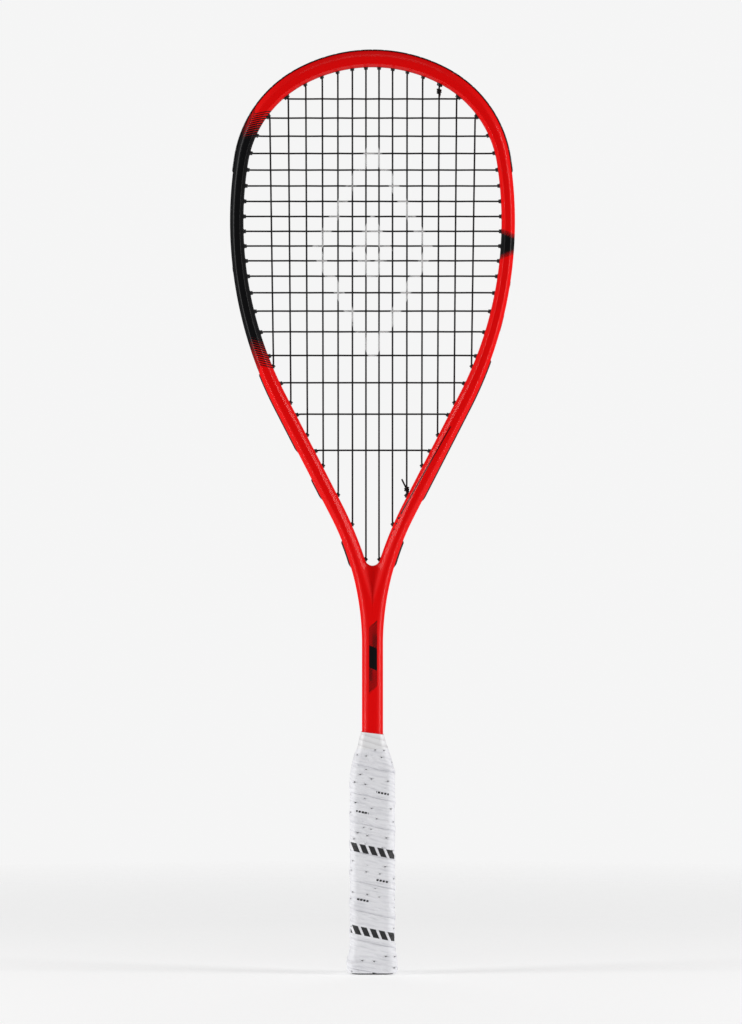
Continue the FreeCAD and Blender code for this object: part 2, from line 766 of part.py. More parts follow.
def knots():
    # Each tie-off is turns of the string's end round a main, drawn tight under its barrel, with a tail.
    thick = size("stringDiameter")
    made = []
    # a turn is this much wider than a string, so that it clears the main and the turn beside it
    loose, pitch, start = 0.1, 1.02, 2.6
    for number, high, tail in ((tieHigh, True, size("upperTail")), (tieLow, False, size("tailLength"))):
        hole = mains[number][0 if high else 1]
        away = -1 if high else 1
        for turn in range(int(size("knotTurns"))):
            centre = onMain(number, high, hole["z"] + away * (start + thick * (turn + 0.5) * pitch))
            made.append(Part.makeTorus(thick + loose, thick / 2, centre, Vector(0, 0, 1)))
        root = centre + Vector(-thick * 1.1, 0, away * thick * 0.2)
        end = Part.makeCylinder(thick / 2, tail, root, Vector(-0.35, -0.25, away * 0.9))
        made[-1] = made[-1].fuse(end)
    return plain("TieOffKnots", Part.makeCompound([solid for shape in made for solid in shape.Solids]))


# ---------------------------------------------------------------- the handle


def gripLevels(inset, low, high):
    # The grip's outside as levels, set in by inset: the butt's flare, the straight and the taper.
    width, depth, corner = size("gripWidth") / 2, size("gripDepth") / 2, size("gripCorner")
    flare, flareAt = size("buttFlare"), size("buttFlareHeight")
    flareEnd = flareAt + size("buttFlareRun")
    rounding = size("buttRound")
    top = size("gripLength")
    neck = top - size("neckLength")
    neckWidth = size("shaftWidth") / 2 + size("neckOver") + size("gripThick")
    neckDepth = size("beamDepth") / 2 + size("neckOver") + size("gripThick")
    # height, share of the flare, how far the butt's rounding takes off, share of the taper's narrowing
    steps = [(0.0, 1, rounding, 0), (0.3 * rounding, 1, 0.3 * rounding, 0), (rounding, 1, 0, 0)]
    steps += [(flareAt + 1.0, 1, 0, 0), (flareAt + 0.5 * size("buttFlareRun"), 0.35, 0, 0)]
    steps += [(flareEnd, 0, 0, 0), (neck, 0, 0, 0)]
    steps += [(neck + up * (top - neck), 0, 0, narrowed) for up, narrowed in taper]
    shape = []
    for height, flared, off, narrowed in steps:
        out = flared * flare - off
        shape.append((height, width + out - narrowed * (width - neckWidth),
                      depth + out - narrowed * (depth - neckDepth)))

    def at(height):
        for (z0, w0, d0), (z1, w1, d1) in zip(shape, shape[1:]):
            if z0 <= height <= z1:
                share = (height - z0) / (z1 - z0)
                return w0 + share * (w1 - w0), d0 + share * (d1 - d0)

    levels = []
    for height in [low] + [z for z, w, d in shape if low < z < high] + [high]:
        halfWidth, halfDepth = at(height)
        turned = min(corner, 0.55 * min(halfWidth, halfDepth)) - 0.6 * inset
        levels.append((height, halfWidth - inset, halfDepth - inset, turned))
    return levels


def shaftHole(name, low, high):
    box = doc.addObject("Part::Box", name)
    bind(box, Length="Sizes.shaftWidth", Width="Sizes.beamDepth")
    box.Height = high - low
    bind(box, Placement__Base__x="-Sizes.shaftWidth / 2", Placement__Base__y="-Sizes.beamDepth / 2")
    box.Placement.Base.z = low
    return box


def handlePallet(wires):
    # Foam moulded round the shaft: full below, stepped in under the butt cap's skirt.
    thick, step = size("gripThick"), size("capHeight")
    wall = size("capWall")
    upper = ringLoft("PalletUpper", gripLevels(thick, step, size("gripLength") - size("finishLength")))
    lower = ringLoft("PalletLower", gripLevels(thick + wall, wall, step))
    both = doc.addObject("Part::MultiFuse", "PalletBlank")
    both.Shapes = [upper, lower]
    hollow = cut("PalletHollow", both, shaftHole("PalletSlot", shaftBottom(), size("gripLength") + cutMargin))
    return cut("HandlePallet", hollow, wires)


def buttCap(wires):
    thick, wall, height = size("gripThick"), size("capWall"), size("capHeight")
    outside = ringLoft("CapOutside", gripLevels(thick, 0.0, height))
    inside = ringLoft("CapInside", gripLevels(thick + wall, wall, height + skin))
    return cut("ButtCap", cut("CapShell", outside, inside), wires)


def gripTape(wires):
    # The tape as one sleeve, from the rounding of the butt to the finishing tape.
    low, high = size("buttRound") * 0.3, size("gripLength") - size("finishLength")
    outside = ringLoft("TapeOutside", gripLevels(0.0, low, high))
    inside = ringLoft("TapeInside", gripLevels(size("gripThick"), low, high))
    return cut("GripTape", cut("TapeSleeve", outside, inside), wires)


def finishingTape():
    low, high = size("gripLength") - size("finishLength"), size("gripLength")
    inset = size("gripThick") - size("finishThick")
    outside = ringLoft("FinishOutside", gripLevels(inset, low, high))
    return cut("FinishingTape", outside, shaftHole("FinishSlot", low - cutMargin, high + cutMargin))


def staple(name, mirror):
    # A wire bridge on the cap's skirt with two legs through it into the foam.
    wire, span, leg = size("stapleWire"), size("stapleSpan"), size("stapleLeg")
    height = size("stapleHeight")
    levels = gripLevels(size("gripThick"), height, height + 1)
    face = min(levels[0][2], levels[1][2])
    parts = []
    for x, width, depth, inset in ((-span / 2, span, wire, 0.0), (-span / 2, wire, leg, leg - wire),
                                   (span / 2 - wire, wire, leg, leg - wire)):
        box = doc.addObject("Part::Box", "%sBar%d" % (name, len(parts)))
        box.Length, box.Width, box.Height = width, depth, wire
        near = face - wire * 0.6 - inset if mirror > 0 else -face + wire * 0.6 - wire
        box.Placement = Placement(Vector(x, near, height), Rotation())
        parts.append(box)
    joined = doc.addObject("Part::MultiFuse", name)
    joined.Shapes = parts
    return joined


def staples():
    group = doc.addObject("Part::Compound", "ButtCapStaples")
    group.Links = [staple("StapleBack", 1), staple("StapleFront", -1)]
    return group


# ---------------------------------------------------------------- the whole racket

fillSheet()
outer, widest = outerOutline()
inner = innerOutline()
mains = [mainHoles(number) for number in range(int(size("mainCount")) // 2)]
crosses = {n: crossHole(n) for n in range(-int(size("crossesBelow")), int(size("crossesAbove")) + 1)}
lowest = min(crosses)
tieHigh, tieLow = 4, 2
mains[tieHigh][0]["twin"] = True
mains[tieLow][1]["twin"] = True
woven = crossings()

nodes = {"frame": frame()}
nodes.update(strips())
nodes["main_string"] = plain("MainString", cord(mainRoute()))
nodes["cross_string"] = plain("CrossString", cord(crossRoute()))
nodes["tie_off_knots"] = knots()
nodes["butt_cap_staples"] = staples()
nodes["handle_pallet"] = handlePallet(nodes["butt_cap_staples"])
nodes["butt_cap"] = buttCap(nodes["butt_cap_staples"])
nodes["grip_tape"] = gripTape(nodes["butt_cap_staples"])
nodes["finishing_tape"] = finishingTape()
doc.recompute()

faults = [thing.Name for thing in doc.Objects if {"Invalid", "Error"} & set(thing.State)]
for name, thing in nodes.items():
    thing.Label = name
    if thing.Shape.isNull() or not thing.Shape.isValid() or thing.Shape.Volume <= 0:
        faults.append(name)
if faults:
    raise SystemExit("failed: " + ", ".join(faults))

os.makedirs("parts", exist_ok=True)
for name, thing in nodes.items():
    thing.Shape.exportStep("parts/" + name + ".step")
    print(name, "solids", len(thing.Shape.Solids), "mm3", round(thing.Shape.Volume))
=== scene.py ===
import math

import bmesh
import bpy
import numpy as np
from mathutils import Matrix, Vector


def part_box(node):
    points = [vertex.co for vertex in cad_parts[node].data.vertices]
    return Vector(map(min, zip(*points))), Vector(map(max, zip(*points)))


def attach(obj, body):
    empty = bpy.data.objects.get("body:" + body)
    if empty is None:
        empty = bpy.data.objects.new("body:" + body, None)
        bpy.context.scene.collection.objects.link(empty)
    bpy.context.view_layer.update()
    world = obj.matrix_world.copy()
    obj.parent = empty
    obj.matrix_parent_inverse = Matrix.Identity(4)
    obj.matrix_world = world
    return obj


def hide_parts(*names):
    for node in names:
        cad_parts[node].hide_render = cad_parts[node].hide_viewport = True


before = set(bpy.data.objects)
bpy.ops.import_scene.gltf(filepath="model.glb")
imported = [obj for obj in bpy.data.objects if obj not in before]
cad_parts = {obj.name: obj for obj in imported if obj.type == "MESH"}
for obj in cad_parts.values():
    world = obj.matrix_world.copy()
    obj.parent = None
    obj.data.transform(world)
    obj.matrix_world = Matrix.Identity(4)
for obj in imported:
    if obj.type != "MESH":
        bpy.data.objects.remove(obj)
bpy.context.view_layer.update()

mm = 0.001

# the camera stands square to the strings, half way up, far off with a long lens
cameraPlace = {"distance": 4.0, "height": 0.3426, "aside": -0.0011, "fieldHeight": 0.7602, "sensor": 24.0}


def placeCamera(place):
    data = bpy.data.cameras.new("camera")
    data.sensor_fit = "VERTICAL"
    data.sensor_height = place["sensor"]
    data.lens = place["sensor"] * place["distance"] / place["fieldHeight"]
    camera = bpy.data.objects.new("camera", data)
    bpy.context.collection.objects.link(camera)
    camera.location = (place["aside"], -place["distance"], place["height"])
    camera.rotation_euler = (math.pi / 2, 0, 0)
    bpy.context.scene.camera = camera


placeCamera(cameraPlace)
print("camera placed")


# mesh helpers: every surface is an array of points laid out in rows and columns

def gridFaces(rows, columns, first=0, closedRows=False, closedColumns=False):
    # quads between neighbouring rows and columns of a grid numbered row by row
    row = np.arange(rows if closedRows else rows - 1)
    column = np.arange(columns if closedColumns else columns - 1)
    row, column = np.meshgrid(row, column, indexing="ij")
    here, above = row * columns, (row + 1) % rows * columns
    beside = (column + 1) % columns
    return np.stack([here + column, here + beside, above + beside, above + column], -1).reshape(-1, 4) + first


def makeMesh(name, points, faces, values=None):
    # points and quads or triangles in metres become an object; values are numbers kept on each point
    mesh = bpy.data.meshes.new(name)
    mesh.vertices.add(len(points))
    mesh.vertices.foreach_set("co", np.asarray(points, np.float32).ravel())
    loops = np.concatenate([block.ravel() for block in faces]).astype(np.int32)
    mesh.loops.add(len(loops))
    mesh.loops.foreach_set("vertex_index", loops)
    lengths = np.concatenate([np.full(len(block), block.shape[1]) for block in faces]).astype(np.int32)
    mesh.polygons.add(len(lengths))
    mesh.polygons.foreach_set("loop_start", np.concatenate([[0], np.cumsum(lengths)[:-1]]).astype(np.int32))
    mesh.polygons.foreach_set("loop_total", lengths)
    mesh.update(calc_edges=True)
    mesh.validate()
    for key, column in (values or {}).items():
        mesh.attributes.new(key, "FLOAT", "POINT").data.foreach_set("value", np.asarray(column, np.float32))
    piece = bpy.data.objects.new(name, mesh)
    bpy.context.collection.objects.link(piece)
    return piece


def tidyMesh(piece, smoothAngle=40, merge=1e-6):
    # neighbouring grids that share an edge are joined, faces turned outwards, only real corners kept sharp
    work = bmesh.new()
    work.from_mesh(piece.data)
    bmesh.ops.remove_doubles(work, verts=work.verts, dist=merge)
    bmesh.ops.dissolve_degenerate(work, edges=work.edges, dist=merge)
    bmesh.ops.recalc_face_normals(work, faces=work.faces)
    work.to_mesh(piece.data)
    work.free()
    piece.data.polygons.foreach_set("use_smooth", np.ones(len(piece.data.polygons), bool))
    piece.data.set_sharp_from_angle(angle=math.radians(smoothAngle))
    piece.data.update()


def smoothMin(first, second, blend):
    # the lower of two heights, with the crease where they meet eased over a height of blend
    near = np.maximum(blend - np.abs(first - second), 0) / blend
    return np.minimum(first, second) - near * near * blend / 4


def smoothMax(first, second, blend):
    # the higher of two heights, eased in the same way
    return -smoothMin(-first, -second, blend)


def smoothStep(value, low, high):
    # from 0 at low to 1 at high along a cubic that is level at both ends
    share = np.clip((value - low) / (high - low), 0, 1)
    return share * share * (3 - 2 * share)


def oneWayRound(count):
    # even angles round a full turn, the last one short of the first
    return np.linspace(0, 2 * math.pi, count, endpoint=False)


# the outline of the beam in millimetres: tangent arcs from the crown down the right side
outlineShape = {
    "headRise": 126.5, "sideRadius": 304.0, "crownAngle": 28.5, "sideLead": 9.0, "legAngle": 27.2,
    "flareRadius": 208.0, "shaftWidth": 15.6, "crownWidth": 11.5, "sideWidth": 9.5, "legWidth": 11.2,
    "crotchRadius": 6.0, "crotchFlare": 300.0, "facetFlare": 420.0, "crotchTurn": 9.0, "sample": 0.25,
}
frameLow, frameHigh = (np.array(corner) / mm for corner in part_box("frame"))
headWidth = frameHigh[0] - frameLow[0]
beamDepth = frameHigh[1] - frameLow[1]
widest = frameHigh[2] - outlineShape["headRise"]
shaftBottom = frameLow[2]


def crownRadii(half, rise, radius, shape):
    # the two crown arcs together span what the side arc leaves of the width and the rise
    first, last = math.radians(shape["crownAngle"]), math.radians(90 - shape["sideLead"])
    sines = np.array([[math.sin(first), math.sin(last) - math.sin(first)],
                      [1 - math.cos(first), math.cos(first) - math.cos(last)]])
    return np.linalg.solve(sines, [half - radius * (1 - math.sin(last)), rise - radius * math.cos(last)])


def followRuns(x, z, steps, sample):
    # each step is a radius and a turn, or None and a length; points lie on its arc or line, sample apart
    heading, passed, rows = 0.0, 0.0, []
    for radius, amount in steps:
        length = amount if radius is None else abs(radius) * amount
        along = np.linspace(0, length, max(2, int(length / sample)))
        if radius is None:
            turned = np.full_like(along, heading)
            px, pz = x + along * math.cos(heading), z - along * math.sin(heading)
        else:
            turned = heading + along / radius
            px = x + radius * (np.sin(turned) - math.sin(heading))
            pz = z + radius * (np.cos(turned) - math.cos(heading))
        rows.append(np.stack([passed + along, px, pz, turned])[:, 1 if rows else 0:])
        x, z, heading, passed = px[-1], pz[-1], turned[-1], passed + length
    return np.concatenate(rows, 1)


def headSteps(half, rise, radius, shape):
    # crown, shoulder and side as three tangent arcs
    crown, shoulder = crownRadii(half, rise, radius, shape)
    first, lead, lean = (math.radians(shape[k]) for k in ("crownAngle", "sideLead", "legAngle"))
    return [(crown, first), (shoulder, math.pi / 2 - lead - first), (radius, lead + lean)]


def outerOutline(shape):
    # the side arc leans into a straight leg as long as the shaft's width leaves, then an arc turns it upright
    half, shaft, lean = headWidth / 2, shape["shaftWidth"] / 2, math.radians(shape["legAngle"])
    bends = shape["sideRadius"] + shape["flareRadius"]
    leg = (half - shaft - bends * (1 - math.cos(lean))) / math.sin(lean)
    flareEnd = widest - bends * math.sin(lean) - leg * math.cos(lean)
    steps = headSteps(half, shape["headRise"], shape["sideRadius"], shape)
    steps += [(None, leg), (-shape["flareRadius"], lean), (None, flareEnd - shaftBottom)]
    return followRuns(0.0, widest + shape["headRise"], steps, shape["sample"])


def innerOutline(shape, forked=True):
    # forked closes the opening with the round fork; otherwise the lines bend slower and run on to the axis
    lean, turn = math.radians(shape["legAngle"]), math.radians(shape["crotchTurn"])
    half, rise = headWidth / 2 - shape["sideWidth"], shape["headRise"] - shape["crownWidth"]
    slimmer = shape["sideWidth"] * math.cos(lean) - shape["legWidth"]
    radius = shape["sideRadius"] + slimmer / (1 - math.cos(lean))
    fork, flare, left = shape["crotchRadius"], shape["crotchFlare" if forked else "facetFlare"], lean - turn
    reach = half - radius * (1 - math.cos(lean)) - fork * math.cos(left)
    reach -= flare * (math.cos(left) - math.cos(lean))
    steps = headSteps(half, rise, radius, shape)
    steps += [(None, reach / math.sin(lean)), (-flare, turn)]
    steps += [(fork, math.pi / 2 - left)] if forked else [(None, fork * math.cos(left) / math.sin(left))]
    return followRuns(0.0, widest + rise, steps, shape["sample"])


outer = outerOutline(outlineShape)
inner = innerOutline(outlineShape)
legLine = innerOutline(outlineShape, False)
forkStart = inner[0, -1] - outlineShape["crotchRadius"] * math.radians(90 - outlineShape["legAngle"]
                                                                    + outlineShape["crotchTurn"])
crotch = inner[2, -1]
print("outline worked out: widest at", round(widest, 1), "fork at", round(crotch, 1))


def onLine(line, along, inward=0.0):
    # x and z at distances along an outline, moved in from it
    x, z, turned = (np.interp(along, line[0], row) for row in line[1:])
    return x - inward * np.sin(turned), z - inward * np.cos(turned)


def distanceTo(line, x, z, signed=False):
    # distance from many points to an outline; signed is positive on its outer side
    flatX, flatZ = np.ravel(x), np.ravel(z)
    found = np.empty(len(flatX))
    for start in range(0, len(flatX), 4000):
        part = slice(start, start + 4000)
        dx, dz = flatX[part, None] - line[1], flatZ[part, None] - line[2]
        near = np.argmin(dx * dx + dz * dz, 1)
        pick = np.arange(len(near))
        dx, dz, turned = dx[pick, near], dz[pick, near], line[3][near]
        out = dx * np.sin(turned) + dz * np.cos(turned)
        found[part] = out if signed else np.hypot(dx, dz)
    return found.reshape(np.shape(x))


def alongAt(line, height):
    # distance along an outline where it comes down to a height
    return float(np.interp(-height, -line[2], line[0]))


# the beam's section in millimetres, as the standing height of its front over the middle plane;
# a slope list holds the facet's rise per millimetre at each of the heights in levels
beamShape = {
    "rows": 470, "levels": [255, 320, 420, 520, 630, 680], "outSlope": [0.98, 1.1, 1.2, 1.4, 1.0, 0.85],
    "inSlope": [0.8, 0.8, 0.85, 1.3, 1.8, 2.6], "outRound": [2.6, 1.8, 1.4, 1.3, 1.5, 1.7], "outEdge": 6.1,
    "inEdge": 6.6, "inRound": 0.45, "forkRound": 1.6, "lipDrop": 0.9, "lipRun": 0.45, "valleyLow": 5.6,
    "valleyRise": 0.3, "valleyRound": 0.9, "valleyLead": 30.0, "valleyEnd": 262.0, "bulge": 0.35,
    "grooveDepth": 3.5, "grooveHalf": 4.5, "grooveEnd": -261.0, "wallRows": 5, "forkStretch": 1.25,
    "roundStart": 345.0, "roundFull": 300.0, "creaseSamples": 90, "creaseEase": 5, "flatLeast": 0.06,
    "columns": (3, 2, 9, 4, 7, 3, 3),
}


def beamFacets(x, z, shape):
    # the outer facet rises from the outline, the inner one from the leg's inside line; under the fork that
    # is a valley whose floor climbs to the flat
    fromOut, fromLeg = distanceTo(outer, x, z), distanceTo(legLine, x, z, True)
    outSlope, inSlope = (np.interp(z, shape["levels"], shape[key]) for key in ("outSlope", "inSlope"))
    outFacet = shape["outEdge"] + outSlope * fromOut
    share = (crotch - z) / (crotch - shape["valleyEnd"])
    floor = shape["valleyLow"] + (beamDepth / 2 + shape["valleyRise"] - shape["valleyLow"]) * share
    inFacet = shape["inEdge"] + inSlope * fromLeg
    valley = smoothMax(inFacet, floor, shape["valleyRound"])
    inFacet = np.where(z < crotch + shape["valleyLead"], valley, inFacet)
    return outFacet, inFacet, fromOut


def beamFront(x, z, shape):
    # height = the lowest of the flat front and the two facets, with rounded creases and softened edges
    outFacet, inFacet, fromOut = beamFacets(x, z, shape)
    fromIn = distanceTo(inner, x, z)
    forkShare = smoothStep(-z, -shape["roundStart"], -shape["roundFull"])
    inRound = shape["inRound"] + shape["forkRound"] * forkShare
    height = smoothMin(np.full_like(x, beamDepth / 2), inFacet, inRound)
    height = smoothMin(height, outFacet, np.interp(z, shape["levels"], shape["outRound"]))
    height -= shape["lipDrop"] * (np.exp(-fromOut / shape["lipRun"]) + np.exp(-fromIn / shape["lipRun"]))
    return height, fromOut, fromIn


def beamEnds(shape):
    # across lines join the outside to the nearest inside point; under the fork the inside is the axis
    along = np.linspace(0, outer[0, -1], shape["rows"])
    outX, outZ = onLine(outer, along)
    apart = np.hypot(outX[:, None] - inner[1], outZ[:, None] - inner[2])
    nearest = inner[0][np.argmin(apart, 1)]
    forkAlong = along[np.searchsorted(nearest, forkStart - 0.5)]
    forkArc = inner[0, -1] - forkStart
    forkEnd = along[np.searchsorted(along, forkAlong + forkArc * shape["forkStretch"])]
    spot = np.where(along <= forkAlong, np.minimum(nearest, forkStart),
                    np.interp(along, [forkAlong, forkEnd], [forkStart, inner[0, -1]]))
    inX, inZ = onLine(inner, spot)
    below = along >= forkEnd
    startZ = outZ[below][0]
    # below the fork the across lines level out over the valley's length
    level = shape["valleyEnd"] - 12.0
    shift = (crotch - startZ) * np.clip((outZ - level) / (startZ - level), 0, 1)
    inX, inZ = np.where(below, 0.0, inX), np.where(below, outZ + shift, inZ)
    return along, outX, outZ, inX, inZ, int(np.argmax(below))


def creaseShares(outX, outZ, inX, inZ, shape):
    # where along each across line the facets meet the flat front, smoothed from line to line
    count, reach = shape["creaseSamples"], shape["creaseEase"]
    share = np.linspace(0, 1, count + 1)
    x = outX[:, None] + (inX - outX)[:, None] * share
    z = outZ[:, None] + (inZ - outZ)[:, None] * share
    outFacet, inFacet = beamFacets(x, z, shape)[:2]
    first = (outFacet < beamDepth / 2).sum(1) / count
    last = 1 - (inFacet < beamDepth / 2).sum(1) / count
    ease = np.hanning(2 * reach + 1)
    ease /= ease.sum()
    first, last = (np.convolve(np.pad(part, reach, "edge"), ease, "valid") for part in (first, last))
    return first, np.maximum(last, first + shape["flatLeast"])


def acrossShares(outX, outZ, inX, inZ, shape):
    # columns crowd together over the creases and at both edges
    first, last = creaseShares(outX, outZ, inX, inZ, shape)
    wide = np.hypot(inX - outX, inZ - outZ)
    outHalf, inHalf, lip = 1.1 / wide, 0.6 / wide, 0.9 / wide
    middle, nearLip = (first + last) / 2, lip * 1.2
    marks = [0 * wide, lip, np.maximum(first - outHalf, nearLip), np.minimum(first + outHalf, middle - 0.01)]
    marks += [np.maximum(last - inHalf, middle + 0.01), np.minimum(last + inHalf, 1 - nearLip), 1 - lip]
    marks += [0 * wide + 1]
    marks = np.maximum.accumulate(np.stack(marks, 1), 1)
    columns = shape["columns"]
    runs = [np.linspace(place, place + 1, count, endpoint=False) for place, count in enumerate(columns)]
    steps = np.concatenate(runs + [[len(columns)]])
    low = np.minimum(steps.astype(int), len(columns) - 1)
    return marks[:, low] + (marks[:, low + 1] - marks[:, low]) * (steps - low)


def innerWall(rows, height, shape):
    # the wall inside the head runs from front to back, bulging as one less the fourth power of the way
    outX, outZ, inX, inZ = rows[1:]
    lift = np.linspace(-1, 1, 2 * shape["wallRows"] + 1)
    bulge = shape["bulge"] * (1 - lift ** 4)
    wide = np.hypot(inX - outX, inZ - outZ)[:, None]
    offAxis = inX[:, None] > shape["bulge"]
    x = inX[:, None] + (inX - outX)[:, None] / wide * bulge * offAxis
    z = inZ[:, None] + (inZ - outZ)[:, None] / wide * bulge
    return x, height[:, None] * lift, z, -bulge


def outerWall(rows, height, shape):
    # the wall outside steps down into the string groove over rounded lips; below the throat it is flat
    along, outX, outZ = rows[:3]
    half, depth = shape["grooveHalf"], shape["grooveDepth"]
    lips = [(half + 0.5, -0.05), (half + 0.15, 0.1), (half, 0.5), (half, depth), (0.0, depth)]
    y = np.stack([height] + [np.full(len(along), place) for place, drop in lips], 1)
    inGroove = outZ > widest + shape["grooveEnd"]
    drop = np.array([0.0] + [drop for place, drop in lips]) * inGroove[:, None]
    y = np.concatenate([y, -y[:, -2::-1]], 1)
    drop = np.concatenate([drop, drop[:, -2::-1]], 1)
    turned = np.interp(along, outer[0], outer[3])[:, None]
    return outX[:, None] - drop * np.sin(turned), y, outZ[:, None] - drop * np.cos(turned)


def makeBeam(shape):
    # on each side a front and a back of the height over the middle plane, closed by the two walls
    along, outX, outZ, inX, inZ, forkRow = beamEnds(shape)
    share = acrossShares(outX, outZ, inX, inZ, shape)
    x = outX[:, None] + (inX - outX)[:, None] * share
    z = outZ[:, None] + (inZ - outZ)[:, None] * share
    height, fromOut, fromIn = beamFront(x, z, shape)
    rows = (along, outX, outZ, inX, inZ)
    head = slice(forkRow + 1)
    wallX, wallY, wallZ, wallIn = innerWall([row[head] for row in rows], height[head, -1], shape)
    sideX, sideY, sideZ = outerWall(rows, height[:, 0], shape)
    sheets = []
    for side in (1, -1):
        sheets += [(side * x, front * height, z, fromOut, fromIn) for front in (-1, 1)]
        sheets += [(side * wallX, wallY, wallZ, fromOut[head, -1:], wallIn)]
        sheets += [(side * sideX, sideY, sideZ, -0.5, fromIn[:, :1])]
    points, faces, values, count = [], [], {"fromOut": [], "fromIn": []}, 0
    for px, py, pz, *marks in sheets:
        points.append(np.stack([px, py, pz], -1).reshape(-1, 3))
        faces.append(gridFaces(*px.shape, count))
        count += px.size
        for key, value in zip(values, marks):
            values[key].append(np.broadcast_to(value, px.shape).ravel())
    piece = makeMesh("beam", np.concatenate(points) * mm, faces,
                     {key: np.concatenate(parts) for key, parts in values.items()})
    tidyMesh(piece, 48, 2e-6)
    return piece


class Value:
    # one output of one node, so that a material can be written as sums of its nodes
    def __init__(self, tree, socket):
        self.tree, self.socket = tree, socket

    def math(self, operation, *others, clamp=False):
        node = self.tree.nodes.new("ShaderNodeMath")
        node.operation = operation
        node.use_clamp = clamp
        for slot, item in enumerate((self,) + others):
            feed(self.tree, node.inputs[slot], item)
        return Value(self.tree, node.outputs[0])

    def __add__(self, other):
        return self.math("ADD", other)

    def __sub__(self, other):
        return self.math("SUBTRACT", other)

    def __mul__(self, other):
        return self.math("MULTIPLY", other)

    def __truediv__(self, other):
        return self.math("DIVIDE", other)

    def size(self):
        return self.math("ABSOLUTE")

    def above(self, limit, soft=0.0001):
        # 0 below the limit, 1 above it, with an edge as wide as soft
        return ((self - limit) / soft + 0.5).math("ADD", 0.0, clamp=True)

    def below(self, limit, soft=0.0001):
        return self.above(limit, soft).flipped()

    def flipped(self):
        return (self * -1.0) + 1.0

    def share(self, pitch):
        # how far along the current repeat of a pitch, 0 to 1
        return (self / pitch).math("FLOORED_MODULO", 1.0)


def feed(tree, socket, item):
    if isinstance(item, Value):
        tree.links.new(item.socket, socket)
    elif item is not None:
        socket.default_value = item


def node(tree, kind, output, inputs=None, **settings):
    made = tree.nodes.new(kind)
    for key, setting in settings.items():
        setattr(made, key, setting)
    for key, item in (inputs or {}).items():
        feed(tree, made.inputs[key], item)
    return Value(tree, made.outputs[output])


def objectPlace(tree):
    # object coordinates: the vector itself, then x, y and z in millimetres
    vector = node(tree, "ShaderNodeTexCoord", "Object")
    split = tree.nodes.new("ShaderNodeSeparateXYZ")
    tree.links.new(vector.socket, split.inputs[0])
    return [vector] + [Value(tree, split.outputs[axis]) * 1000.0 for axis in "XYZ"]


def kept(tree, name):
    return node(tree, "ShaderNodeAttribute", "Fac", attribute_name=name)


def mixed(tree, share, first, second):
    made = tree.nodes.new("ShaderNodeMix")
    made.data_type = "RGBA"
    for key, item in ((0, share), (6, first), (7, second)):
        feed(tree, made.inputs[key], item)
    return Value(tree, made.outputs[2])


def noise(tree, vector, scale, detail=2.0, stretch=None):
    if stretch:
        vector = node(tree, "ShaderNodeMapping", 0, {"Vector": vector, "Scale": stretch})
    return node(tree, "ShaderNodeTexNoise", 0, {"Vector": vector, "Scale": scale, "Detail": detail})


def bump(tree, height, distance, strength=1.0, below=None):
    return node(tree, "ShaderNodeBump", 0, {"Height": height, "Distance": distance, "Strength": strength,
                                            "Normal": below})


def newMaterial(name, **sockets):
    material = bpy.data.materials.new(name)
    material.use_nodes = True
    tree = material.node_tree
    shader = tree.nodes["Principled BSDF"]
    for key, item in sockets.items():
        feed(tree, shader.inputs[key.replace("_", " ")], item)
    return material, tree, shader.inputs


def handledGroup():
    # dust and rubbing shared by every finish: a fine grain, broad smudges and short scratches, 0 to 1 each
    group = bpy.data.node_groups.new("handled", "ShaderNodeTree")
    for name in ("Grain", "Smudge", "Scratch"):
        group.interface.new_socket(name, in_out="OUTPUT", socket_type="NodeSocketFloat")
    end = group.nodes.new("NodeGroupOutput")
    vector = node(group, "ShaderNodeTexCoord", "Object")
    feed(group, end.inputs["Grain"], noise(group, vector, 2600.0, 3.0))
    feed(group, end.inputs["Smudge"], noise(group, vector, 38.0, 5.0))
    streaks = noise(group, vector, 30.0, 2.0, (1.0, 1.0, 22.0)) * noise(group, vector, 90.0, 2.0)
    feed(group, end.inputs["Scratch"], streaks.above(0.42, 0.05))
    return group


handled = handledGroup()


def useHandled(tree, *names):
    made = tree.nodes.new("ShaderNodeGroup")
    made.node_tree = handled
    return [Value(tree, made.outputs[name]) for name in names]


# the lacquer: red with a black half of the head on the left, a band on the right and marks on the shaft
lacquerLook = {
    "red": (0.80, 0.0008, 0.001, 1), "black": (0.0035, 0.0035, 0.004, 1), "ridge": 2.7,
    "blackTop": 619.0, "topRun": 19.0, "blackFoot": 472.0, "footRun": 21.5, "stripe": 1.8,
    "bandMiddle": 541.0, "bandHalf": 5.0, "bandRun": 4.0, "bandStripe": 0.95,
    "pinTop": 406.0, "pinEnd": 341.0, "dotEnd": 316.0, "dotPitch": 4.2,
    "markTop": 262.0, "markFoot": 207.0, "markMiddle": 235.0, "markStripe": 2.3, "markFine": 1.25,
    "markBlock": 8.2, "markHalf": 3.0, "pinHalf": 0.42, "rub": (0.18, 0.17, 0.17, 1), "smudged": 0.82,
    "roughness": 0.38, "coat": 0.14, "orangePeel": 0.00002,
}


def hatch(depth, run, stripe):
    # stripes whose black share falls from all to under half over the run, which ends sharply
    share = (depth / run).math("ADD", 0.0, clamp=True)
    return depth.share(stripe).below(share * -0.58 + 1.0, 0.14) * depth.below(run, 0.1)


